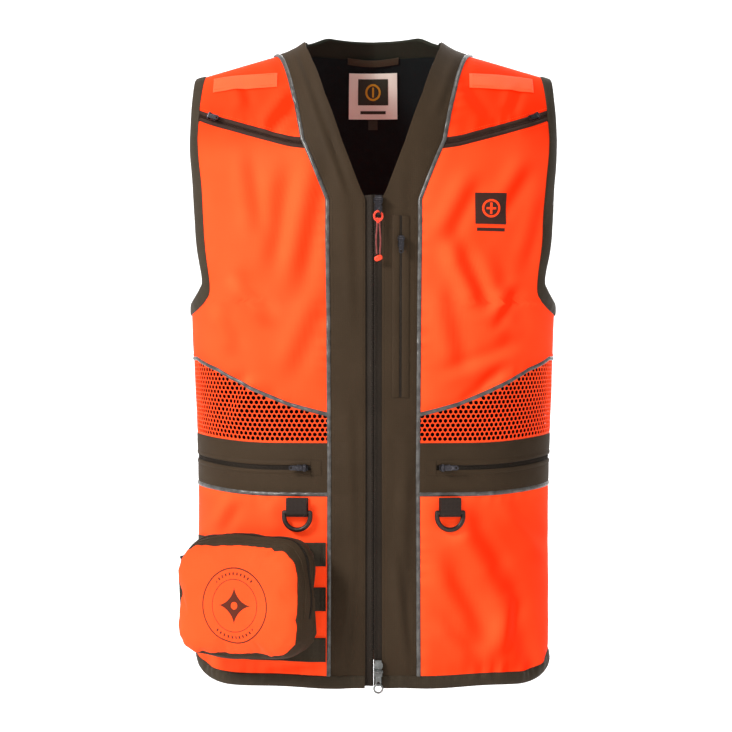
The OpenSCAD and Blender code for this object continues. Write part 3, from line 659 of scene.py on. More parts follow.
row_webbing = cloth_material("olive_webbing", (0.036, 0.025, 0.014), (0.046, 0.033, 0.019), 0.66, 1.4, 0.8,
                             0.05, (0.8, 0.75, 0.7))
patch_cloth = cloth_material("patch_rubber", (0.048, 0.018, 0.012), (0.060, 0.024, 0.017), 0.5, 0.5, 0.2, 0.0)
label_dark = cloth_material("label_field_weave", (0.030, 0.034, 0.024), (0.040, 0.045, 0.032), 0.6, 0.5, 0.3,
                            0.0)
thread_orange = cloth_material("thread_orange", (0.9, 0.06, 0.006), (1.0, 0.085, 0.01), 0.5, 0.3, 0.3, 0.2,
                               (1, 0.7, 0.5), GLOW)
amber = cloth_material("amber_thread", (0.55, 0.28, 0.02), (0.70, 0.38, 0.03), 0.5, 0.4, 0.4, 0.1)


def piping_material():
    """Glass-bead tape: grey, speckled with brighter beads and creased where it bends."""
    m, shader, coord = nodes_of("reflective_tape", "UV")
    speck = noise(coord, 900, 4)
    crease = noise(coord, 120, 5)
    colour = mix(ramp(crease, [(0.4, BLACK), (0.62, WHITE)]), (0.085, 0.079, 0.073), (0.150, 0.143, 0.135))
    colour = mix(ramp(speck, [(0.62, 0.0), (0.72, 0.5)]), colour, (0.30, 0.30, 0.29))
    put(shader, {"Base Color": colour, "Metallic": 0.35, "Roughness": ramp(speck, [(0.3, 0.5), (0.8, 0.26)])})
    bump(shader, (crease, 0.5, 0.0006), (speck, 0.3, 0.00008))
    return m


def metal_material(name, dark, light, rough, metallic=1.0, scratch=0.5):
    """Plated die-cast metal: cloudy finish, fine scratches and rubbed spots."""
    m, shader, coord = nodes_of(name)
    cloud = noise(coord, 160, 4)
    rub = ramp(noise(coord, 420, 5), [(0.56, 0.0), (0.74, scratch)])
    colour = mix(rub, ramp(cloud, [(0.3, dark), (0.7, light)]), worn(light, 2.2, 0.06))
    put(shader, {"Base Color": colour, "Metallic": metallic,
                 "Roughness": ramp(cloud, [(0.3, rough + 0.1), (0.7, rough - 0.08)])})
    bump(shader, (cloud, 0.12, 0.0003), (noise(coord, 2600, 3), 0.2, 0.00003))
    return m


def cord_material(name, dark, light, rough, braid, glow):
    """Red, either braided with diagonal strands or moulded with a soft orange-peel."""
    m, shader, coord = nodes_of(name)
    slow = noise(coord, 300, 3)
    put(shader, {"Base Color": ramp(slow, [(0.3, dark), (0.7, light)]),
                 "Roughness": ramp(slow, [(0.3, rough + 0.07), (0.7, rough - 0.07)]),
                 "Emission Color": light, "Emission Strength": glow, "Sheen Weight": 0.3 if braid else 0.0})
    if braid:
        strands = waves(coord, 160, "DIAGONAL", 0.2)
        bump(shader, (strands, 0.7, 0.00012), (noise(coord, 2500, 2), 0.2, 0.00003))
    else:
        bump(shader, (noise(coord, 1600, 2), 0.25, 0.00004))
    return m


tape = piping_material()
gunmetal = metal_material("gunmetal_plate", (0.050, 0.046, 0.052), (0.085, 0.080, 0.088), 0.38)
nickel = metal_material("worn_nickel", (0.16, 0.165, 0.16), (0.27, 0.28, 0.27), 0.32)
ring_metal = metal_material("ring_coating", (0.040, 0.028, 0.024), (0.060, 0.044, 0.038), 0.42, 0.7, 0.3)
strand_red = cord_material("strand_red", (0.20, 0.028, 0.022), (0.30, 0.050, 0.040), 0.7, True, 0.05)
cord_red = cord_material("cord_red", (0.80, 0.030, 0.008), (1.0, 0.055, 0.012), 0.55, True, 0.35)
plastic_red = cord_material("plastic_red", (0.90, 0.040, 0.010), (1.0, 0.070, 0.018), 0.35, False, 0.3)

# ---- the cord on the top puller
BAR_Y = -(FRONT_DEPTH + 2.5) - 3.4 - 2.4  # the puller's bar, in front of the zip and its slider
MAIN_X = 4.9
KNOT_Z, BEAD_Z = 491 - SHOULDER, 452 - SHOULDER
CORD_R, STRAND_R = 0.0011, 0.0009
# One strand of the cord, from the knot down to its moulded end, in mm
STRAND = [[0, 0, 0], [0.2, 0, -5], [0.5, -0.2, -10], [0.9, -0.3, -15], [1.1, -0.3, -20], [1, -0.2, -25],
          [0.7, -0.1, -30], [0.5, 0, -35]]


def tube(cloth, path, r, sides=10, lay=0.0):
    """Closed tube along path, in metres; lay adds twisted yarns of that depth."""
    path = np.asarray(path, float)
    t = np.gradient(path, axis=0)
    t /= np.linalg.norm(t, axis=1, keepdims=True)
    ref = np.array([0.9, 0.1, 0.2])
    if abs(t[0] @ ref) >= 0.8:
        ref = np.array([0, 1.0, 0])
    b = np.cross(t[0], ref)
    frames = []
    for k in range(len(path)):
        b = b - t[k] * (b @ t[k])
        b /= np.linalg.norm(b)
        frames.append((b, np.cross(t[k], b)))
    ang = np.arange(sides) * 2 * math.pi / sides
    rings = []
    for k, (f, g) in enumerate(frames):
        rad = r * (1 + lay * np.sin(3 * ang + k * 0.9))
        rings.append(path[k] + rad[:, None] * (np.cos(ang)[:, None] * f + np.sin(ang)[:, None] * g))
    return cloth.add(np.stack(rings), quads(len(path), sides))


def strand_path(s):
    route = [[MAIN_X + s * (1.2 + x), BAR_Y + y, KNOT_Z + z] for x, y, z in STRAND]
    return catmull(np.array(route) / 1000, 36)


def knot_cloth():
    """The overhand knot and the loop that goes through the puller's eye."""
    knot = Cloth()
    t = np.linspace(0, 2 * math.pi, 90)
    tie = np.stack([(np.sin(t) + 2 * np.sin(2 * t)) * 0.72, (np.cos(t) - 2 * np.cos(2 * t)) * 0.62,
                    -np.sin(3 * t) * 1.1], -1)
    tube(knot, (tie[:, [0, 2, 1]] * 1.15 + [MAIN_X, BAR_Y, KNOT_Z + 0.6]) / 1000, CORD_R, 10, 0.07)
    loop = catmull([[-0.6, -0.6, 491], [-3.0, -1.6, 492.2], [-4.4, -2.1, 495.2], [-3.7, -2.2, 498.6],
                    [-1.6, -1.9, 500.6], [0, 0, 501.0], [1.6, 1.9, 500.4], [3.8, 2.1, 498.2], [4.2, 2.0, 495],
                    [2.8, 1.4, 492.2], [0.6, 0.2, 491]], 70)
    return tube(knot, (loop + [MAIN_X, BAR_Y, -SHOULDER]) / 1000, CORD_R, 10, 0.07)


def bead_cloth(n=24, rows=15):
    """The moulded end: a lozenge with two shallow grooves."""
    a = np.arange(n) * 2 * math.pi / n
    deep, wide = 2.0 * power(np.sin(a)), 3.0 * power(np.cos(a))
    rings = []
    for k, v in enumerate(np.linspace(-1, 1, rows)):
        w = (1 - abs(v) ** 2.6) ** (1 / 2.6) * (0.90 if k in (5, 9) else 1)
        rings.append(np.stack([np.full(n, v * 4.6), w * deep, w * wide], -1))
    tilt = Matrix.Rotation(math.radians(-24), 3, "Y")
    points = np.stack(rings) @ np.array(tilt).T + [MAIN_X, BAR_Y, BEAD_Z]
    return Cloth().add(points / 1000, quads(rows, n, False))


on_puller = {"body": "main_top_pull", "uv": False}
build("cord_knot", knot_cloth(), cord_red, "red_cord", ["cord_end"], **on_puller)
cord_bead = build("cord_end_bead", bead_cloth(), plastic_red, "red_plastic", ["cord_end"], **on_puller)
for name, s in (("cord_strand_a", -1), ("cord_strand_b", 1)):
    route = strand_path(s)
    strand = tube(Cloth(), route, STRAND_R, 10, 0.05)
    strand = build(name, strand, strand_red, "red_cord", ["pull_cord"], **on_puller)

# ---- panels of the front halves
# Cross-sections of the strips: [part of the way across, distance from the surface in mm]
PIPE = [(0, 0.3), (0, 1.3), (0.12, 1.9), (0.3, 2.35), (0.5, 2.5), (0.7, 2.35), (0.88, 1.9), (1, 1.3),
        (1, 0.3)]
BIND = [(0.02, -1.0), (0, 1.4), (0.03, 2.0), (0.12, 2.35), (0.4, 2.5), (0.72, 2.35), (0.9, 1.9), (1.0, 1.0),
        (1.02, 0.1), (1.0, -0.8), (0.9, -1.35), (0.5, -1.6), (0.06, -1.5)]
ZIP_TAPE = [(0, -1.5), (0, -0.5), (0.1, 0.0), (0.22, -0.1), (0.3, -0.7), (1, -0.9), (1, -1.6)]
WAIST_TAPE = [(0, -1.0), (0, -0.2), (0.5, -0.1), (1, -0.2), (1, -1.0), (0.5, -1.0)]
YOKE_TAPE = [(0, -0.9), (0, 0.1), (0.08, 0.9), (0.2, 1.2), (0.34, 0.9), (0.4, 0.1), (0.6, 0.1), (0.66, 0.9),
             (0.8, 1.2), (0.92, 0.9), (1, 0.1), (1, -0.9), (0.5, -0.9)]
CHEST_LIP = [(0, 0.9), (0.0, 1.9), (0.06, 2.2), (0.5, 2.0), (0.9, 2.2), (1, 1.8), (1, 1.0)]
ROLL = [(0, 2.9), (0.6, 2.8), (1.2, 2.2), (1.6, 0.8), (1.2, -0.9), (0.6, -1.6), (0, -1.7)]
LIP = [(0, 0.1), (0, 1.2), (0.3, 1.75), (0.7, 1.8), (1.0, 1.45), (1.08, 0.9), (1.0, 0.3), (0.6, -0.1),
       (0.2, -0.1)]

CLOTH = 1.2  # thickness of a panel
SLOT_IN, SLOT_GAP = 66, 6.0  # the waist pockets' inner end, and half the height of their slots
SIDE = np.array([[-200.0, 90.0], [200.0, 90.0]])
TOP_U = 89.97
TOP = np.array([[0.0, TOP_U]])
front_edge = upright(V_LINE, 0.8)
arm_front, arm_back = by_angle(ARM_FRONT), by_angle(ARM_BACK)
arm_front[1:, 1] -= 1.2
arm_back[1:, 1] += 1.2
SLOT_A = float(angle_at(SLOT_IN, POCKET))


def lift(u):
    return 1.6 * smooth(np.asarray(u, float), 54, 89)


def net(cloth, a0, a1, line, drop=0.0, pitch=5.5):
    """Knitted net of rounded hexagon holes from angle a0 to a1, between the band and drop mm below a line."""
    s0, s1 = (float(np.interp(v, arc_a, arc_s)) for v in (a0, a1))
    row = pitch * math.sqrt(3) / 2
    hexagon = [(0, 2 / 3), (0.5, 1 / 3), (0.5, -1 / 3), (0, -2 / 3), (-0.5, -1 / 3), (-0.5, 1 / 3)]
    low = BAND_TOP - 0.5
    spots, faces, known = [], [], {}

    def top(s):
        return DOME + RISE * float(look(line, np.interp(s, arc_s, arc_a))) - drop

    def vertex(s, z, off):
        key = (round(s, 2), round(z, 2), off)
        if key not in known:
            known[key] = len(spots)
            spots.append((s, z, off))
        return known[key]

    for i in range(int(110 / row) + 2):
        for j in range(int((s1 - s0) / pitch) + 2):
            cs, cz = s0 + (j + 0.5 * (i % 2)) * pitch, low + i * row
            if cs > s1 + 0.3 * pitch or cz > top(cs) + 0.2 * row:
                continue
            outer = [(cs + x * pitch, cz + y * row) for x, y in hexagon]
            held = [(min(max(s, s0), s1), min(max(z, low), top(min(max(s, s0), s1)))) for s, z in outer]
            moved = max(math.hypot(a[0] - b[0], a[1] - b[1]) for a, b in zip(outer, held))
            if moved > 1.2:
                if len({(round(a, 2), round(b, 2)) for a, b in held}) > 3:
                    front = list(dict.fromkeys(vertex(s, z, 1.0) for s, z in held))
                    back = list(dict.fromkeys(vertex(s, z, 0.1) for s, z in held))
                    faces += [front, back[::-1]]
                continue
            rings = [[vertex(s, z, 1.0) for s, z in held]]
            for k, off in ((0.80, 1.1), (0.73, 0.6), (0.80, 0.05)):
                rings.append([vertex(cs + x * pitch * k, cz + y * row * k, off) for x, y in hexagon])
            rings.append([vertex(s, z, 0.1) for s, z in held])
            for a, b in zip(rings, rings[1:]):
                for k in range(6):
                    n = (k + 1) % 6
                    quad = [a[k], a[n], b[n], b[k]]
                    if len(set(quad)) == 4:
                        faces.append(quad)
    s, z, off = np.array(spots).T
    grid = np.stack([np.interp(s, arc_s, arc_a), u_low(z)], -1) * cloth.flip
    return cloth.add(place(grid, off), faces, flat_uv(grid))


def coil(cloth, line, off, half, pitch=1.5, r=0.42):
    """Zip coil across a line of [a, u]."""
    p, t, n = stations(line * cloth.flip, pitch, off)
    side = np.cross(n, t) * half / 1000
    shift = t * 0.25 / 1000
    return cloth.beads(p - side - shift, p + side + shift, r / 1000, 6, n)


def placket(side):
    """Placket and V band, as one strip from the hem over the shoulder seam."""
    c = Cloth(side)
    grid = panel(upright(ZIP_LINE), upright(V_LINE), flat(CUT_LOW), TOP, 14, 210)
    raised = lift(grid[..., 1])
    c.sheet(grid, raised, CLOTH + raised)
    u = np.linspace(u_low(16), 88.5, 240)
    for dx, edge in ((2.2, ZIP_LINE), (-3.4, V_LINE)):
        c.stitches(climb(upright(edge, dx), u), CLOTH + lift(np.linspace(u[0], u[-1], 400)))
    build("placket_cloth_" + side, c, olive, "olive_cloth", ["placket_" + side], side=side,
          hangs_from="collar_band")


def orange_panel(part, side, grid, *seams):
    c = Cloth(side).sheet(grid, 0, CLOTH)
    for seam in seams:
        c.stitches(seam, CLOTH)
    build(f"{part}_cloth_{side}", c, orange, "orange_cloth", [f"{part}_{side}"], side=side,
          hangs_from="back_yoke")


def orange_panels(side):
    above_net = np.linspace(look(front_edge, -60) + 1.5, 84, 90)
    chest = panel(front_edge, arm_front, level(MESH_LINE, 0.3), level(YOKE_LINE, -6), 44, 84)
    orange_panel("chest", side, chest,
                 cross(level(YOKE_LINE, -8.6), np.linspace(look(front_edge, 33) + 2, 72, 90)),
                 cross(level(MESH_LINE, 4.6), above_net))
    orange_panel("yoke", side, panel(front_edge, arm_front, level(YOKE_LINE, 6), TOP, 40, 34),
                 cross(level(YOKE_LINE, 8.6), np.linspace(look(front_edge, 38) + 2, 73, 90)))
    orange_panel("lower", side, panel(front_edge, SIDE, flat(CUT_LOW), flat(BAND_LOW - 0.3), 48, 50))


def waist_band(side):
    """Waist band in three sheets round the pocket's slot, with the slot's lips and a tab at its end."""
    c = Cloth(side)
    inner = panel(front_edge, plumb(SLOT_IN + 0.1, 480), flat(BAND_LOW), flat(BAND_TOP), 7, 14)
    c.sheet(inner, 0.1, 1.5, 0.9)
    for low, high in ((BAND_LOW, POCKET - SLOT_GAP), (POCKET + SLOT_GAP, BAND_TOP)):
        c.sheet(panel(plumb(SLOT_IN, 480), SIDE, flat(low), flat(high), 44, 6), 0.1, 1.5, 0.9)
    for s in (1, -1):
        z = POCKET + s * SLOT_GAP
        c.sweep(at_height(z + s * 1.2, SLOT_A, 90, 70), at_height(z - s * 3.2, SLOT_A, 90, 70), LIP, 0.25)
        c.stitches(at_height(z + s * 3.0, SLOT_A - 2.2, 89, 80), 1.5)
    end = np.linspace(u_low(POCKET - 9), u_low(POCKET + 9), 12)
    c.stitches(np.stack([np.full(12, SLOT_A - 2.2), end], -1), 1.5)
    for z, near in ((BAND_TOP - 2.6, 255), (BAND_LOW + 5, 208)):
        c.stitches(at_height(z, look(front_edge, u_low(near)) + 1.6, 89, 90), 1.5)
    tab = panel(plumb(56, 480), plumb(67.6, 480), flat(POCKET - 7.5), flat(POCKET + 7.5), 5, 6)
    c.sheet(tab, 1.3, 2.1, counts=False)
    for k in (0.08, 0.92):
        c.stitches(tab[1:-1, 0] * (1 - k) + tab[1:-1, -1] * k, 2.1, 2.4, 1.7, 0.26)
    build("band_cloth_" + side, c, olive, "olive_cloth", ["band_" + side], side=side, hangs_from="back_yoke")


def piping(side):
    """Reflective piping down the V line and along both edges of the net and the band."""
    c = Cloth(side)
    u = np.linspace(u_low(13.5), TOP_U, 330)
    c.sweep(climb(upright(V_LINE), u), climb(upright(V_LINE, PIPE_W), u), PIPE, lift(u), 0.25)
    for edge in (MESH_LINE, np.array([[40, BAND_LOW], [190, BAND_LOW]])):
        a = np.linspace(float(look(upright(V_LINE, 3), u_low(edge[0, 1]))), 90, 130)
        c.sweep(cross(level(edge, PIPE_W / 2), a), cross(level(edge, -PIPE_W / 2), a), PIPE, 0.0, 0.25)
    build("piping_tape_" + side, c, tape, "reflective_piping", ["piping_" + side], side=side)


def hem_binding(cloth, a0, a1, n):
    return cloth.sweep(at_height(HEM, a0, a1, n), at_height(HEM_TIP, a0, a1, n), BIND, 0.0, 0.5)


def bindings(side):
    """Hem binding of the front half, and the binding all round the armhole."""
    c = hem_binding(Cloth(side), float(angle_at(9.2, 5)), 90, 190)
    c.stitches(at_height(HEM - 1.8, 4, 89.5, 200), 2.25)
    edge, seam = (np.concatenate([by_angle(front)[::-1], by_angle(back)[1:]])
                  for front, back in ((ARM_FRONT, ARM_BACK), (ARM_FRONT_SEAM, ARM_BACK_SEAM)))
    edge, seam = (catmull(np.stack([v[:, 1], np.minimum(v[:, 0], 89.3)], -1), 280) for v in (edge, seam))
    c.sweep(seam, edge, BIND, 0.2, 0.4, ring=True)
    c.stitches(seam * 0.86 + edge * 0.14, 2.5)
    back_half = ["armhole_bindings"] if side == "left" else []
    build("binding_tape_" + side, c, olive_tape, "olive_binding", ["binding_" + side] + back_half, side=side)


def main_zip(side):
    """The main zip's tape, with single teeth that mesh with the other side's."""
    c = Cloth(side)
    u = np.linspace(u_low(3), float(u_at(0, 519)), 160)
    c.sweep(climb(plumb(0.25), u), climb(plumb(11.0), u), ZIP_TAPE)
    heights = np.arange(31 + (0 if side == "left" else 1.1), 499, 2.2)
    at = np.where(heights > DOME, u_at(0, heights), u_low(heights))
    inner, outer = (climb(plumb(x), at) * c.flip for x in (0.35, 2.9))
    c.beads(place(inner, 0.45), place(outer, 0.35), 0.0007)
    c.stitches(climb(plumb(5.2), u), -0.75, 2.6, 1.8, 0.22)
    build("main_zip_teeth_" + side, c, zip_cloth, "zip_tape", ["main_zip_" + side], side=side)


def pocket_zips(side):
    """Tape and coil in the waist slot and under the yoke."""
    c = Cloth(side)
    c.sweep(*(at_height(POCKET + dz, SLOT_A - 1.0, 90, 70) for dz in (7, -7)), WAIST_TAPE)
    coil(c, at_height(POCKET, SLOT_A + 0.8, 89, 90), 0.15, 1.7)
    build("waist_zip_coil_" + side, c, zip_cloth, "zip_tape", ["pocket_zips_" + side], side=side)
    c = Cloth(side)
    a = np.linspace(float(look(upright(V_LINE, 1.0), 27)), 73.0, 70)
    c.sweep(cross(level(YOKE_LINE, 6.6), a), cross(level(YOKE_LINE, -6.6), a), YOKE_TAPE)
    coil(c, cross(level(YOKE_LINE), a), 0.5, 1.5)
    for dz in (5.4, -5.4):
        c.stitches(cross(level(YOKE_LINE, dz), a), 0.75, 2.8, 1.9, 0.24)
    build("yoke_zip_coil_" + side, c, yoke_cloth, "zip_tape", side=side)


def shoulder_tab(side):
    """Tab tacked at both ends and slightly bowed between."""
    c = Cloth(side)
    low = np.array([[100, 637.5], [176, 634.5]])
    ends = (upright([[600, x], [660, x]]) for x in (103, 173))
    grid = panel(*ends, level(low), level(low, 16), 30, 8)
    bow = np.broadcast_to(0.9 * np.sin(np.linspace(0, math.pi, 31)) ** 0.7, grid.shape[:2])
    c.sheet(grid, 1.3 + bow, 2.4 + bow)
    for k in (1, 2, 28, 29):
        c.stitches(grid[:, k][1:-1], 2.4 + float(bow[0, k]), 2.4, 1.7, 0.26)
    for k in (1, 7):
        c.stitches(grid[k, 1:-1], 3.2, 2.8, 1.9, 0.26)
    build("shoulder_tab_" + side, c, orange_tab, "orange_cloth", ["shoulder_tabs"], side=side)


for side in ("left", "right"):
    placket(side)
    orange_panels(side)
    waist_band(side)
    build("net_" + side, net(Cloth(side), look(front_edge, -70), 90, level(MESH_LINE, -0.4)), orange_net,
          "orange_mesh", ["mesh_" + side], side=side, sharp=180)
    piping(side)
    bindings(side)
    main_zip(side)
    pocket_zips(side)
    shoulder_tab(side)


# ---- the wearer's left chest: pocket zip and patch
def chest_zip(x=28.5, low=306, high=497):
    """Two lips over a coil, tacked across at both ends."""
    c = Cloth()
    u = np.linspace(u_low(low), float(u_at(x, high)), 90)
    for s in (-1, 1):
        c.sweep(climb(plumb(x + s * 9.0), u), climb(plumb(x + s * 1.3), u), CHEST_LIP, 0.0, 0.12)
        c.stitches(climb(plumb(x + s * 6.4), u), 1.95)
    for z in (low, high):
        ends = np.linspace(angle_at(x - 6, z), angle_at(x + 6, z), 12)
        c.stitches(np.stack([ends, np.full(12, float(u_at(x, z)))], -1), 1.7)
    build("chest_zip_welt", c, olive, "olive_cloth", ["chest_zip"], side="left")
    c = Cloth()
    c.sweep(climb(plumb(x - 2.8), u), climb(plumb(x + 2.8), u), [(0, 1.0), (0, 1.5), (1, 1.5), (1, 1.0)])
    coil(c, climb(plumb(x), u), 1.7, 0.9)
    build("chest_zip_coil", c, zip_cloth, "zip_tape", side="left")


def spot(x, z, behind=False):
    """[a, u] of a place on the front, or behind on the back."""
    a = angle_at(x, np.minimum(z, DOME))
    return np.stack([180 - a if behind else a, u_at(x, z)], -1)


def patch(x0, x1, z0, z1, nx=12, nz=12, behind=False):
    if behind:
        x0, x1 = x1, x0
    z, x = np.meshgrid(np.linspace(z0, z1, nz), np.linspace(x0, x1, nx), indexing="ij")
    return spot(x, z, behind)


def ring(cloth, x, z, outer, inner, low, high, n, behind=False):
    """Flat ring between two distances from the surface."""
    t = np.linspace(0, 2 * math.pi, n + 1)[:-1]
    one, two = (spot(x + r * np.cos(t), z + r * np.sin(t), behind) for r in (outer, inner))
    return cloth.sweep(one, two, [(0, low), (0, high), (1, high), (1, low)], ring=True)


def chest_patch():
    """A plain square with a ring and a cross, and a plain strip under it."""
    c = Cloth().sheet(patch(107, 140, 489, 522), 1.0, 1.9)
    build("chest_patch", c, patch_cloth, "olive_cloth", side="left")
    mark = ring(Cloth(), 123.5, 505.5, 9.6, 7.4, 1.7, 2.2, 48)
    mark.sheet(patch(122.3, 124.7, 499.5, 511.5, 5, 5), 1.7, 2.2)
    mark.sheet(patch(118.5, 128.5, 504.4, 506.6, 5, 5), 1.7, 2.2)
    build("chest_patch_mark", mark, thread_orange, "orange_cloth", side="left")
    c = Cloth().sheet(patch(108.5, 138.5, 481.5, 485, 10, 10), 1.1, 1.55)
    build("chest_patch_strip", c, patch_cloth, "olive_cloth", side="left")


chest_zip()
chest_patch()


# ---- back
def neckline(half, side_z, middle_z, flat_to, turn=0.55):
    """Back neck line of [a, u]: level across the middle, dropping to the shoulder seam at half."""
    x = half * np.sin(np.linspace(90, -90, 91) * DEG)
    z = middle_z - (middle_z - side_z) * smooth(np.abs(x), flat_to, half)
    below_rim = 1 - 1e-7 - 0.045 * np.clip(1 - (x / half) ** 2, 0, 1) ** turn
    sine = np.minimum((z - DOME) / (top_h(x) - DOME), below_rim)
    return np.stack([180 - angle_at(x, DOME), np.degrees(np.arcsin(sine))], -1)


inner_neck = neckline(73, 693.8, 703.5, 46)
outer_neck = neckline(105, 678.4, 684.5, 60)
under_neck = neckline(102, 679.2, 686.0, 60)
half_net = np.concatenate([level(MESH_LINE), [[a, u_low(z)] for a, z in ((90, 350), (120, 356), (180, 360))]])
net_top = np.concatenate([half_net, [[360 - a, u] for a, u in half_net[::-1]][1:]])
yoke_half = level([[x, 556] for x in (0, 60, 120, 160, 187)])
yoke_seam = np.array([[180 - a, u] for a, u in yoke_half[::-1]] + [[180 + a, u] for a, u in yoke_half[1:]])
far_side, far_arm = round_back(SIDE), round_back(arm_back)


def back_panels():
    c = Cloth().sheet(panel(arm_back, far_arm, beside(yoke_seam, 0.2), under_neck, 110, 40), 0, CLOTH)
    for d in (1.3, 2.6):
        c.stitches(cross(beside(yoke_seam, d), np.linspace(110, 250, 300)), CLOTH)
    build("back_yoke_cloth", c, orange, "orange_cloth", ["back_yoke"], hangs_from="collar_band")
    grid = panel(arm_back, far_arm, beside(net_top, 0.1), beside(yoke_seam, -0.2), 130, 60)
    c = Cloth().sheet(grid, 0, CLOTH)
    build("back_cloth", c, orange, "orange_cloth", ["back_upper"], hangs_from="back_yoke")
    c = Cloth().sheet(panel(SIDE, far_side, flat(CUT_LOW), flat(BAND_LOW - 0.3), 130, 50), 0, CLOTH)
    build("back_lower_cloth", c, orange, "orange_cloth", ["back_lower"], hangs_from="back_yoke")
    c = Cloth().sheet(panel(SIDE, far_side, flat(BAND_LOW), flat(BAND_TOP), 130, 14), 0.1, 1.5, 0.9)
    for z in (BAND_LOW + 5, BAND_TOP - 2.6):
        c.stitches(at_height(z, 91, 269, 400), 1.5)
    build("back_band_cloth", c, olive, "olive_cloth", ["back_band"], hangs_from="back_yoke")
    c = net(Cloth(), 90, 270, net_top, 0.3)
    build("back_net", c, orange_net, "orange_mesh", ["back_mesh"], sharp=180)


def back_tapes():
    c = Cloth()
    a = np.linspace(90, 270, 320)
    c.sweep(cross(beside(net_top, 0.75), a), cross(beside(net_top, -0.75), a), PIPE, 0.0, 0.2)
    c.sweep(*(at_height(BAND_LOW + dz, 90, 270, 320) for dz in (2.2, -2.2)), PIPE, 0.0, 0.2)
    c.sweep(outer_neck, outer_neck + (outer_neck - inner_neck) * 0.12, PIPE, 1.0, 0.2)
    build("back_piping_tape", c, tape, "reflective_piping")
    c = hem_binding(Cloth(), 90, 270, 400)
    c.stitches(at_height(HEM - 1.8, 90.5, 269.5, 400), 2.25)
    build("back_hem_tape", c, olive_tape, "olive_binding", ["back_hem"])


def collar():
    """Outside band, inside facing rolled over the rim, and the lining."""
    c = Cloth().sheet(between(inner_neck, outer_neck, np.linspace(0, 1, 9)), 1.6, 2.9)
    for k in (0.1, 0.9):
        c.stitches(inner_neck * (1 - k) + outer_neck * k, 2.9)
    build("collar_cloth", c, olive, "olive_cloth", ["collar_band"])
    c = Cloth().sheet(between(inner_neck, outer_neck, np.linspace(0.0, 1.02, 9)), -1.6, -0.3)
    c.sweep(inner_neck + (outer_neck - inner_neck) * 0.05, inner_neck, ROLL)
    c.stitches(inner_neck * 0.1 + outer_neck * 0.9, -1.75, 3.1, 2.1, 0.28)
    build("collar_facing", c, facing, "olive_cloth", ["collar_band"])
    grid = panel(beside(arm_back, 4), beside(far_arm, -4), flat(12), beside(outer_neck, 1.0), 90, 120)
    build("lining_knit", Cloth().sheet(grid, -3.2, -2.4), lining, "black_lining", ["back_lining"],
          hangs_from="collar_band")


def hanger():
    c = Cloth()
    x = np.linspace(-30, 30, 40)
    arch = 1 - (x / 30) ** 2
    c.sweep(spot(x, 689 - 1.5 * arch, True), spot(x, 682 - 1.5 * arch, True),
            [(0, -3.4), (0, -4.4), (0.3, -4.8), (0.7, -4.8), (1, -4.4), (1, -3.4)], -2.2 * arch ** 2)
    for x in (-28, 28):
        c.stitches(patch(x - 0.1, x + 0.1, 682.5, 688.5, 2, 8, True)[:, 0], -4.9, 1.6, 1.2, 0.3)
    build("hanger_tape", c, olive_tape, "olive_binding", ["hanger_loop"])


def neck_label():
    """A plain label: a dark field with a ring and a bar, a strip under it and a small tag."""
    c = Cloth().sheet(patch(-28.5, 28.5, 622, 673, 20, 18, True), -5.4, -4.6)
    build("label_satin", c, label_cloth, "label_cloth", ["neck_label"])
    c = Cloth().sheet(patch(-18, 18, 638, 667, 14, 12, True), -5.9, -5.3)
    c.sheet(patch(-5.5, 5.5, 610, 621, 5, 6, True), -4.4, -3.8)
    build("label_field", c, label_dark, "olive_cloth")
    c = ring(Cloth(), 0, 652.5, 9.5, 7.2, -5.7, -6.2, 32, True)
    c.sheet(patch(-1.2, 1.2, 647, 658, 4, 6, True), -6.2, -5.7)
    build("label_mark", c, amber, "label_cloth")
    c = Cloth().sheet(patch(-15, 15, 628, 631.5, 12, 4, True), -5.7, -5.3)
    build("label_strip", c, label_dark, "olive_cloth")


back_panels()
back_tapes()
collar()
hanger()
neck_label()

# ---- webbing rows and the straps behind the pouch
ROW = [(0, 0), (0, 1.2), (0.04, 1.5), (0.1, 1.35), (0.5, 1.4), (0.9, 1.35), (0.96, 1.5), (1, 1.2), (1, 0),
       (0.5, 0)]
STRAP = [(0, 0), (0, 0.9), (0.05, 1.1), (0.95, 1.1), (1, 0.9), (1, 0)]
ROW_HEIGHTS, ROW_HALF = (41, 94, 141), 12.5
TACKS = (54.5, 94.5, 134.5)  # the rows are tacked down here, 40 mm apart


def webbing_rows(n=90):
    c = Cloth("right")
    for h in ROW_HEIGHTS:
        a0 = float(angle_at(50.0, h))
        x = half_w(np.full(n, h)) * power(np.sin(np.linspace(a0, 75, n) * DEG))
        from_tack = np.abs(((x - TACKS[0]) / 40 + 0.5) % 1 - 0.5) * 40
        c.sweep(at_height(h + ROW_HALF, a0, 75, n), at_height(h - ROW_HALF, a0, 75, n), ROW,
                1.5 + 1.9 * smooth(from_tack, 1.5, 9))
        for x in [tack + dx for tack in TACKS for dx in (-0.8, 0.8)]:
            z = np.linspace(h - 11, h + 11, 20)
            c.stitches(np.stack([angle_at(np.full(20, x), z), u_low(z)], -1), 3.0, 1.5, 1.3, 0.3)
    build("webbing_rows", c, row_webbing, "dark_webbing", ["molle_webbing"], side="right")


def pouch_straps():
    c = Cloth("right")
    u = np.linspace(u_low(42), u_low(150), 60)
    for x in (73, 113):
        c.sweep(climb(plumb(x - 10, 200), u), climb(plumb(x + 10, 200), u), STRAP, 1.3)
    build("pouch_strap_webbing", c, webbing, "dark_webbing", ["pouch_straps"], side="right")


webbing_rows()
pouch_straps()

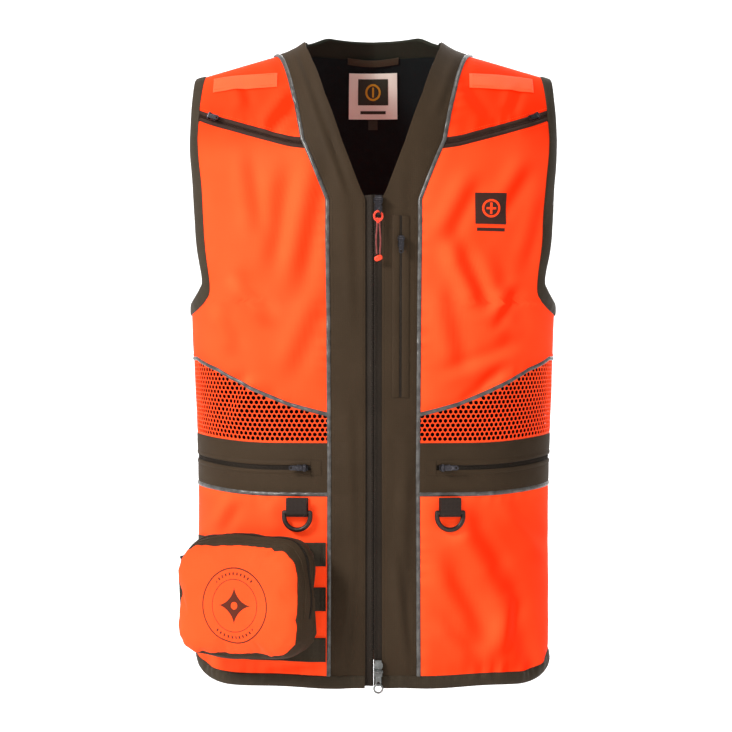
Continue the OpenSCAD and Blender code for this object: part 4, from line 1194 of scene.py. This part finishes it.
# ---- pouch
# Its own frame: x across, -y outward, z up, in mm from the middle of its back
POUCH_AT = np.array([-121, -112.5, 100 - SHOULDER])
TURN = -25 * DEG
SWELL_FRAMES = 20
SWELL_CAP = 0.005  # how far the cloth may move under pressure, in metres
SEAM_DEPTH = 40.5  # where the orange front meets the olive side
ROT = np.array([[math.cos(TURN), -math.sin(TURN), 0], [math.sin(TURN), math.cos(TURN), 0], [0, 0, 1]])


def from_pouch(p):
    return (p @ ROT.T + POUCH_AT) / 1000


def to_pouch(p):
    return (p * 1000 - POUCH_AT) @ ROT


def rounded(w, h, r, n=16):
    """Outline of a rectangle with round corners, n points to a corner."""
    pts = []
    for quarter, (sx, sy) in enumerate(((1, 1), (-1, 1), (-1, -1), (1, -1))):
        for k in range(n):
            ang = (90 * quarter + 90 * k / (n - 1)) * DEG
            pts.append([sx * (w / 2 - r) + r * math.cos(ang), sy * (h / 2 - r) + r * math.sin(ang)])
    return np.array(pts)


def pouch_shape():
    """Smaller closed form of the pouch: full back, front drawn in towards the seam."""
    levels = [(1.0, 0.93), (2.5, 1.0), (20, 1.0), (34, 0.985), (42, 0.95), (46.5, 0.86), (48, 0.5),
              (48.3, 0.05)]
    rings = []
    for depth, k in levels:
        drop = smooth(depth, 16, 45)
        r = rounded(140 * (k + 0.02 * drop * (k > 0.6)), 122 * (k - 0.07 * drop * (k > 0.1)), 29 * k)
        x, z = r[:, 0] - 0.3 - 4.7 * drop, r[:, 1] - 1.0 - 5.5 * drop
        rings.append(np.stack([x, np.full(len(r), -depth), z], -1))
    back = rounded(141 * 0.05, 123 * 0.05, 1.4)
    rings.insert(0, np.stack([back[:, 0], np.full(len(back), -0.9), back[:, 1]], -1))
    return from_pouch(np.concatenate(rings)), quads(len(rings), len(back))


def applied(obj):
    """Mesh of the object with its modifiers applied and removed."""
    deps = bpy.context.evaluated_depsgraph_get()
    mesh = bpy.data.meshes.new_from_object(obj.evaluated_get(deps))
    obj.modifiers.clear()
    return mesh


def swell(obj, cap):
    """Cloth under pressure, with how far a point may move held to cap."""
    remesh = obj.modifiers.new("remesh", "REMESH")
    remesh.mode = "VOXEL"
    remesh.voxel_size = 0.004
    obj.data = applied(obj)
    start = np.array([v.co for v in obj.data.vertices])
    cloth = obj.modifiers.new("cloth", "CLOTH")
    s = cloth.settings
    s.quality = 6
    s.mass = 0.15
    s.tension_stiffness = 12
    s.compression_stiffness = 8
    s.bending_stiffness = 0.6
    s.use_pressure = True
    s.uniform_pressure_force = 4
    s.effector_weights.gravity = 0
    s.shrink_min = -0.03
    scene = bpy.context.scene
    scene.frame_start, scene.frame_end = 1, SWELL_FRAMES
    cloth.point_cache.frame_start, cloth.point_cache.frame_end = 1, SWELL_FRAMES
    for f in range(1, SWELL_FRAMES + 1):
        scene.frame_set(f)
    done = applied(obj)
    move = np.array([v.co for v in done.vertices]) - start
    dist = np.linalg.norm(move, axis=1, keepdims=True)
    move *= np.minimum(1, cap / np.maximum(dist, 1e-9))
    scene.frame_set(1)
    done.vertices.foreach_set("co", (start + move).astype(np.float32).ravel())
    obj.data = done


def make_pouch():
    points, faces = pouch_shape()
    mesh = bpy.data.meshes.new("pouch_form")
    mesh.from_pydata(points.tolist(), [], faces)
    form = new_object("pouch_form", mesh)
    swell(form, SWELL_CAP)
    bm = bmesh.new()
    bm.from_mesh(form.data)
    bmesh.ops.recalc_face_normals(bm, faces=bm.faces)
    bpy.data.objects.remove(form)
    # Folds of the slack cloth round the seam, deepest at the corners
    for v in bm.verts:
        p = to_pouch(np.array(v.co))
        ang = math.atan2(p[2], p[0] * 0.87)
        seam = math.exp(-((p[1] + 41) / 9) ** 2)
        corner = math.sin(2 * ang) ** 2
        wave = math.sin(ang * 34 + 2 * math.sin(ang * 5)) * (0.35 + 0.65 * corner)
        inside = max(abs(p[0]) / 72, abs(p[2]) / 63)
        d = 0.55 * wave * seam
        if p[1] < -38:
            d += 0.8 * math.sin(p[0] / 13 + p[2] / 19) * math.sin(p[2] / 17 - p[0] / 31) * (1 - 0.5 * inside)
        else:
            d += 1.1 * math.sin(ang * 7 + p[1] / 6) * math.exp(-((p[1] + 24) / 14) ** 2)
        v.co += v.normal * d / 1000
    geometry = bm.verts[:] + bm.edges[:] + bm.faces[:]
    bmesh.ops.bisect_plane(bm, geom=geometry, plane_co=seam_co, plane_no=seam_no)
    return bm


outward_dir = ROT @ np.array([0.0, -1.0, 0.0])
seam_co, seam_no = Vector(from_pouch(np.array([[0, -SEAM_DEPTH, 0]]))[0]), Vector(outward_dir)
pouch_bm = make_pouch()


def pouch_part(name, keep, material, replaces):
    bm = pouch_bm.copy()
    gone = [f for f in bm.faces if ((f.calc_center_median() - seam_co).dot(seam_no) > 0) != keep]
    bmesh.ops.delete(bm, geom=gone, context="FACES")
    mesh = bpy.data.meshes.new(name)
    bm.to_mesh(mesh)
    bm.free()
    obj = new_object(name, mesh, material)
    solid = obj.modifiers.new("thickness", "SOLIDIFY")
    solid.thickness = 0.0012
    solid.offset = -1
    sub = obj.modifiers.new("smooth", "SUBSURF")
    sub.levels = sub.render_levels = 1
    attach(obj, "pouch")
    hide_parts(*replaces)
    return obj


def emblem_material():
    """Orange cloth printed with a plain double ring and a four-point star."""
    m = cloth_material("pouch_orange", (0.90, 0.085, 0.014), (1.0, 0.105, 0.020), 0.8, 0.5, 0.25, 0.06,
                       (1, 0.6, 0.3), use_uv=False)
    shader = m.node_tree.nodes["Principled BSDF"]
    coord = m.node_tree.nodes.new("ShaderNodeTexCoord").outputs["Object"]
    mapping = node_on(coord, "Mapping", "Vector", vector_type="TEXTURE")
    put(mapping, {"Location": from_pouch(np.array([[-1, 0, -9]]))[0], "Rotation": (0, 0, TURN),
                  "Scale": (0.037, 0.037, 0.039)})
    x, y, z = node_on(mapping.outputs["Vector"], "SeparateXYZ", 0).outputs
    r = calc("SQRT", calc("ADD", calc("MULTIPLY", x, x), calc("MULTIPLY", z, z)))
    ax, az = calc("ABSOLUTE", x), calc("ABSOLUTE", z)

    def band(middle, half):
        return calc("LESS_THAN", calc("ABSOLUTE", calc("SUBTRACT", r, middle)), half)

    def arm(v):
        return calc("POWER", calc("DIVIDE", v, 0.52), 0.62)

    star = calc("LESS_THAN", calc("ADD", arm(ax), arm(az)), 1.0)
    star = calc("MULTIPLY", star, calc("GREATER_THAN", r, 0.1))
    ticks = calc("GREATER_THAN", calc("SINE", calc("MULTIPLY", calc("ARCTAN2", z, x), 44)), 0.35)
    ticks = calc("MULTIPLY", calc("MULTIPLY", ticks, calc("LESS_THAN", ax, 0.58)), band(0.85, 0.04))
    rings = calc("MAXIMUM", band(1.0, 0.018), band(0.7, 0.010))
    ink = calc("MAXIMUM", calc("MAXIMUM", star, rings), ticks)
    ink = calc("MULTIPLY", ink, calc("LESS_THAN", y, -0.8))
    cloth = shader.inputs["Base Color"].links[0].from_socket
    glow = tuple(v * GLOW[1] for v in GLOW[0])
    put(shader, {"Base Color": mix(calc("MULTIPLY", ink, 0.9), cloth, (0.035, 0.016, 0.010)),
                 "Emission Color": mix(ink, glow, BLACK), "Emission Strength": 1.0})
    return m


olive_solid = cloth_material("olive_ripstop_solid", *OLIVE, use_uv=False, wear=0.05)
pouch_face = pouch_part("pouch_front_cloth", True, emblem_material(), ["pouch_front"])
pouch_body = pouch_part("pouch_gusset_cloth", False, olive_solid, ["pouch_gusset", "pouch_back"])

# Zip round the pouch: tape and coil laid on the gusset, and stitches on both sides of the front seam
hull = BVHTree.FromBMesh(pouch_bm)
FAR = 140.0  # clear of the pouch on every side


def on_pouch(angles, depth, off):
    """Points on the pouch's side at angles round its axis, in metres, off mm proud."""
    out, normals = [], []
    q = from_pouch(np.array([[0.0, -depth, 0.0]]))[0]
    for ang in angles:
        p = from_pouch(np.array([[FAR * math.cos(ang), -depth, FAR * math.sin(ang)]]))[0]
        d = (q - p) / np.linalg.norm(q - p)
        out.append(np.array(hull.ray_cast(Vector(p), Vector(d))[0]))
        normals.append(-d)
    pad = np.pad(np.array(out), ((3, 3), (0, 0)), mode="edge")
    out = np.stack([np.convolve(pad[:, i], np.ones(7) / 7, "valid") for i in range(3)], -1)
    return out + np.array(normals) * off / 1000


def strip(cloth, angles, d0, d1, off, thick):
    """Flat strip round the pouch between two depths."""
    section = ((d0, off - thick), (d0, off), ((d0 + d1) / 2, off + 0.25), (d1, off), (d1, off - thick))
    points = np.stack([on_pouch(angles, depth, o) for depth, o in section], 1)
    return cloth.add(points, quads(len(angles), len(section)))


on_pouch_body = {"body": "pouch", "uv": False}
c = Cloth()
for d0, d1 in ((17.5, 23.4), (26.6, 32.5)):
    strip(c, np.linspace(-18, 204, 260) * DEG, d0, d1, 0.9, 1.2)
build("pouch_zip_flaps", c, olive_solid, "olive_cloth", **on_pouch_body)
c = strip(Cloth(), np.linspace(-18, 204, 260) * DEG, 22.5, 27.5, 0.45, 1.0)
p = on_pouch(np.linspace(-17, 203, 330) * DEG, 25, 0.8)
c.beads(p - outward_dir * 0.0013, p + outward_dir * 0.0013, 0.0004)
build("pouch_zip_coil", c, zip_cloth, "zip_tape", **on_pouch_body)
c = Cloth()
for depth, off in ((37.6, 0.1), (15.4, 0.2)):
    p = on_pouch(np.linspace(0, 360, 190)[:-1] * DEG, depth, off)
    t = np.roll(p, -1, 0) - np.roll(p, 1, 0)
    t /= np.linalg.norm(t, axis=1, keepdims=True)
    c.beads(p - t * 0.0011, p + t * 0.0011, 0.0003)
build("pouch_stitches", c, olive_solid, "olive_cloth", **on_pouch_body)

# ---- finishes of the CAD fittings that stay
FINISH = {"main_bottom_slider": nickel, "main_bottom_pull": nickel}
for kind in ("slider", "pull"):
    for name in (f"main_top_{kind}", f"chest_{kind}", f"pouch_{kind}", f"yoke_{kind}_left",
                 f"yoke_{kind}_right", f"waist_{kind}_left", f"waist_{kind}_right"):
        FINISH[name] = gunmetal
for side in ("left", "right"):
    FINISH["d_ring_" + side] = ring_metal
    FINISH["ring_webbing_" + side] = webbing_solid
for name, finish in FINISH.items():
    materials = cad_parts[name].data.materials
    materials.clear()
    materials.append(finish)

# ---- floor and light
FLOOR_Z = -0.80
COVE = 1.5  # radius of the curve from the floor up to the backdrop
floor_mat, shader, coord = nodes_of("studio_floor")
put(shader, {"Base Color": ramp(noise(coord, 3, 2), [(0.3, 0.93), (0.7, 0.95)]), "Roughness": 0.9})
turns = [k * math.pi / 24 for k in range(13)]
profile = [(-6, 0)] + [(3 + COVE * math.sin(t), COVE - COVE * math.cos(t)) for t in turns] + [(4.5, 6)]
mesh = bpy.data.meshes.new("studio_floor")
mesh.from_pydata([(x, y, z + FLOOR_Z) for y, z in profile for x in (-8, 8)], [],
                 [[2 * k, 2 * k + 1, 2 * k + 3, 2 * k + 2] for k in range(len(profile) - 1)])
new_object("studio_floor", mesh, floor_mat)


def area_light(name, at, size, power_w, aim=(0, 0, -0.35)):
    data = bpy.data.lights.new(name, "AREA")
    data.size = size
    data.energy = power_w
    obj = bpy.data.objects.new(name, data)
    obj.location = at
    obj.rotation_euler = (Vector(aim) - Vector(at)).to_track_quat("-Z", "Y").to_euler()
    bpy.context.scene.collection.objects.link(obj)


area_light("key", (-2.4, -2.0, 1.4), 0.9, 108)
area_light("fill", (1.8, -2.8, 0.0), 2.0, 13)
area_light("top", (0.3, 0.3, 2.4), 1.6, 22)
area_light("rear", (0.6, 2.4, 0.8), 2.0, 30)
area_light("backdrop", (0.0, 1.6, 2.2), 3.0, 150, aim=(0.0, 4.2, 0.6))
world = bpy.data.worlds.new("studio")
bpy.context.scene.world = world
world.use_nodes = True
put(world.node_tree.nodes["Background"], {"Color": WHITE, "Strength": 0.34})
bpy.context.scene.view_settings.view_transform = "Standard"
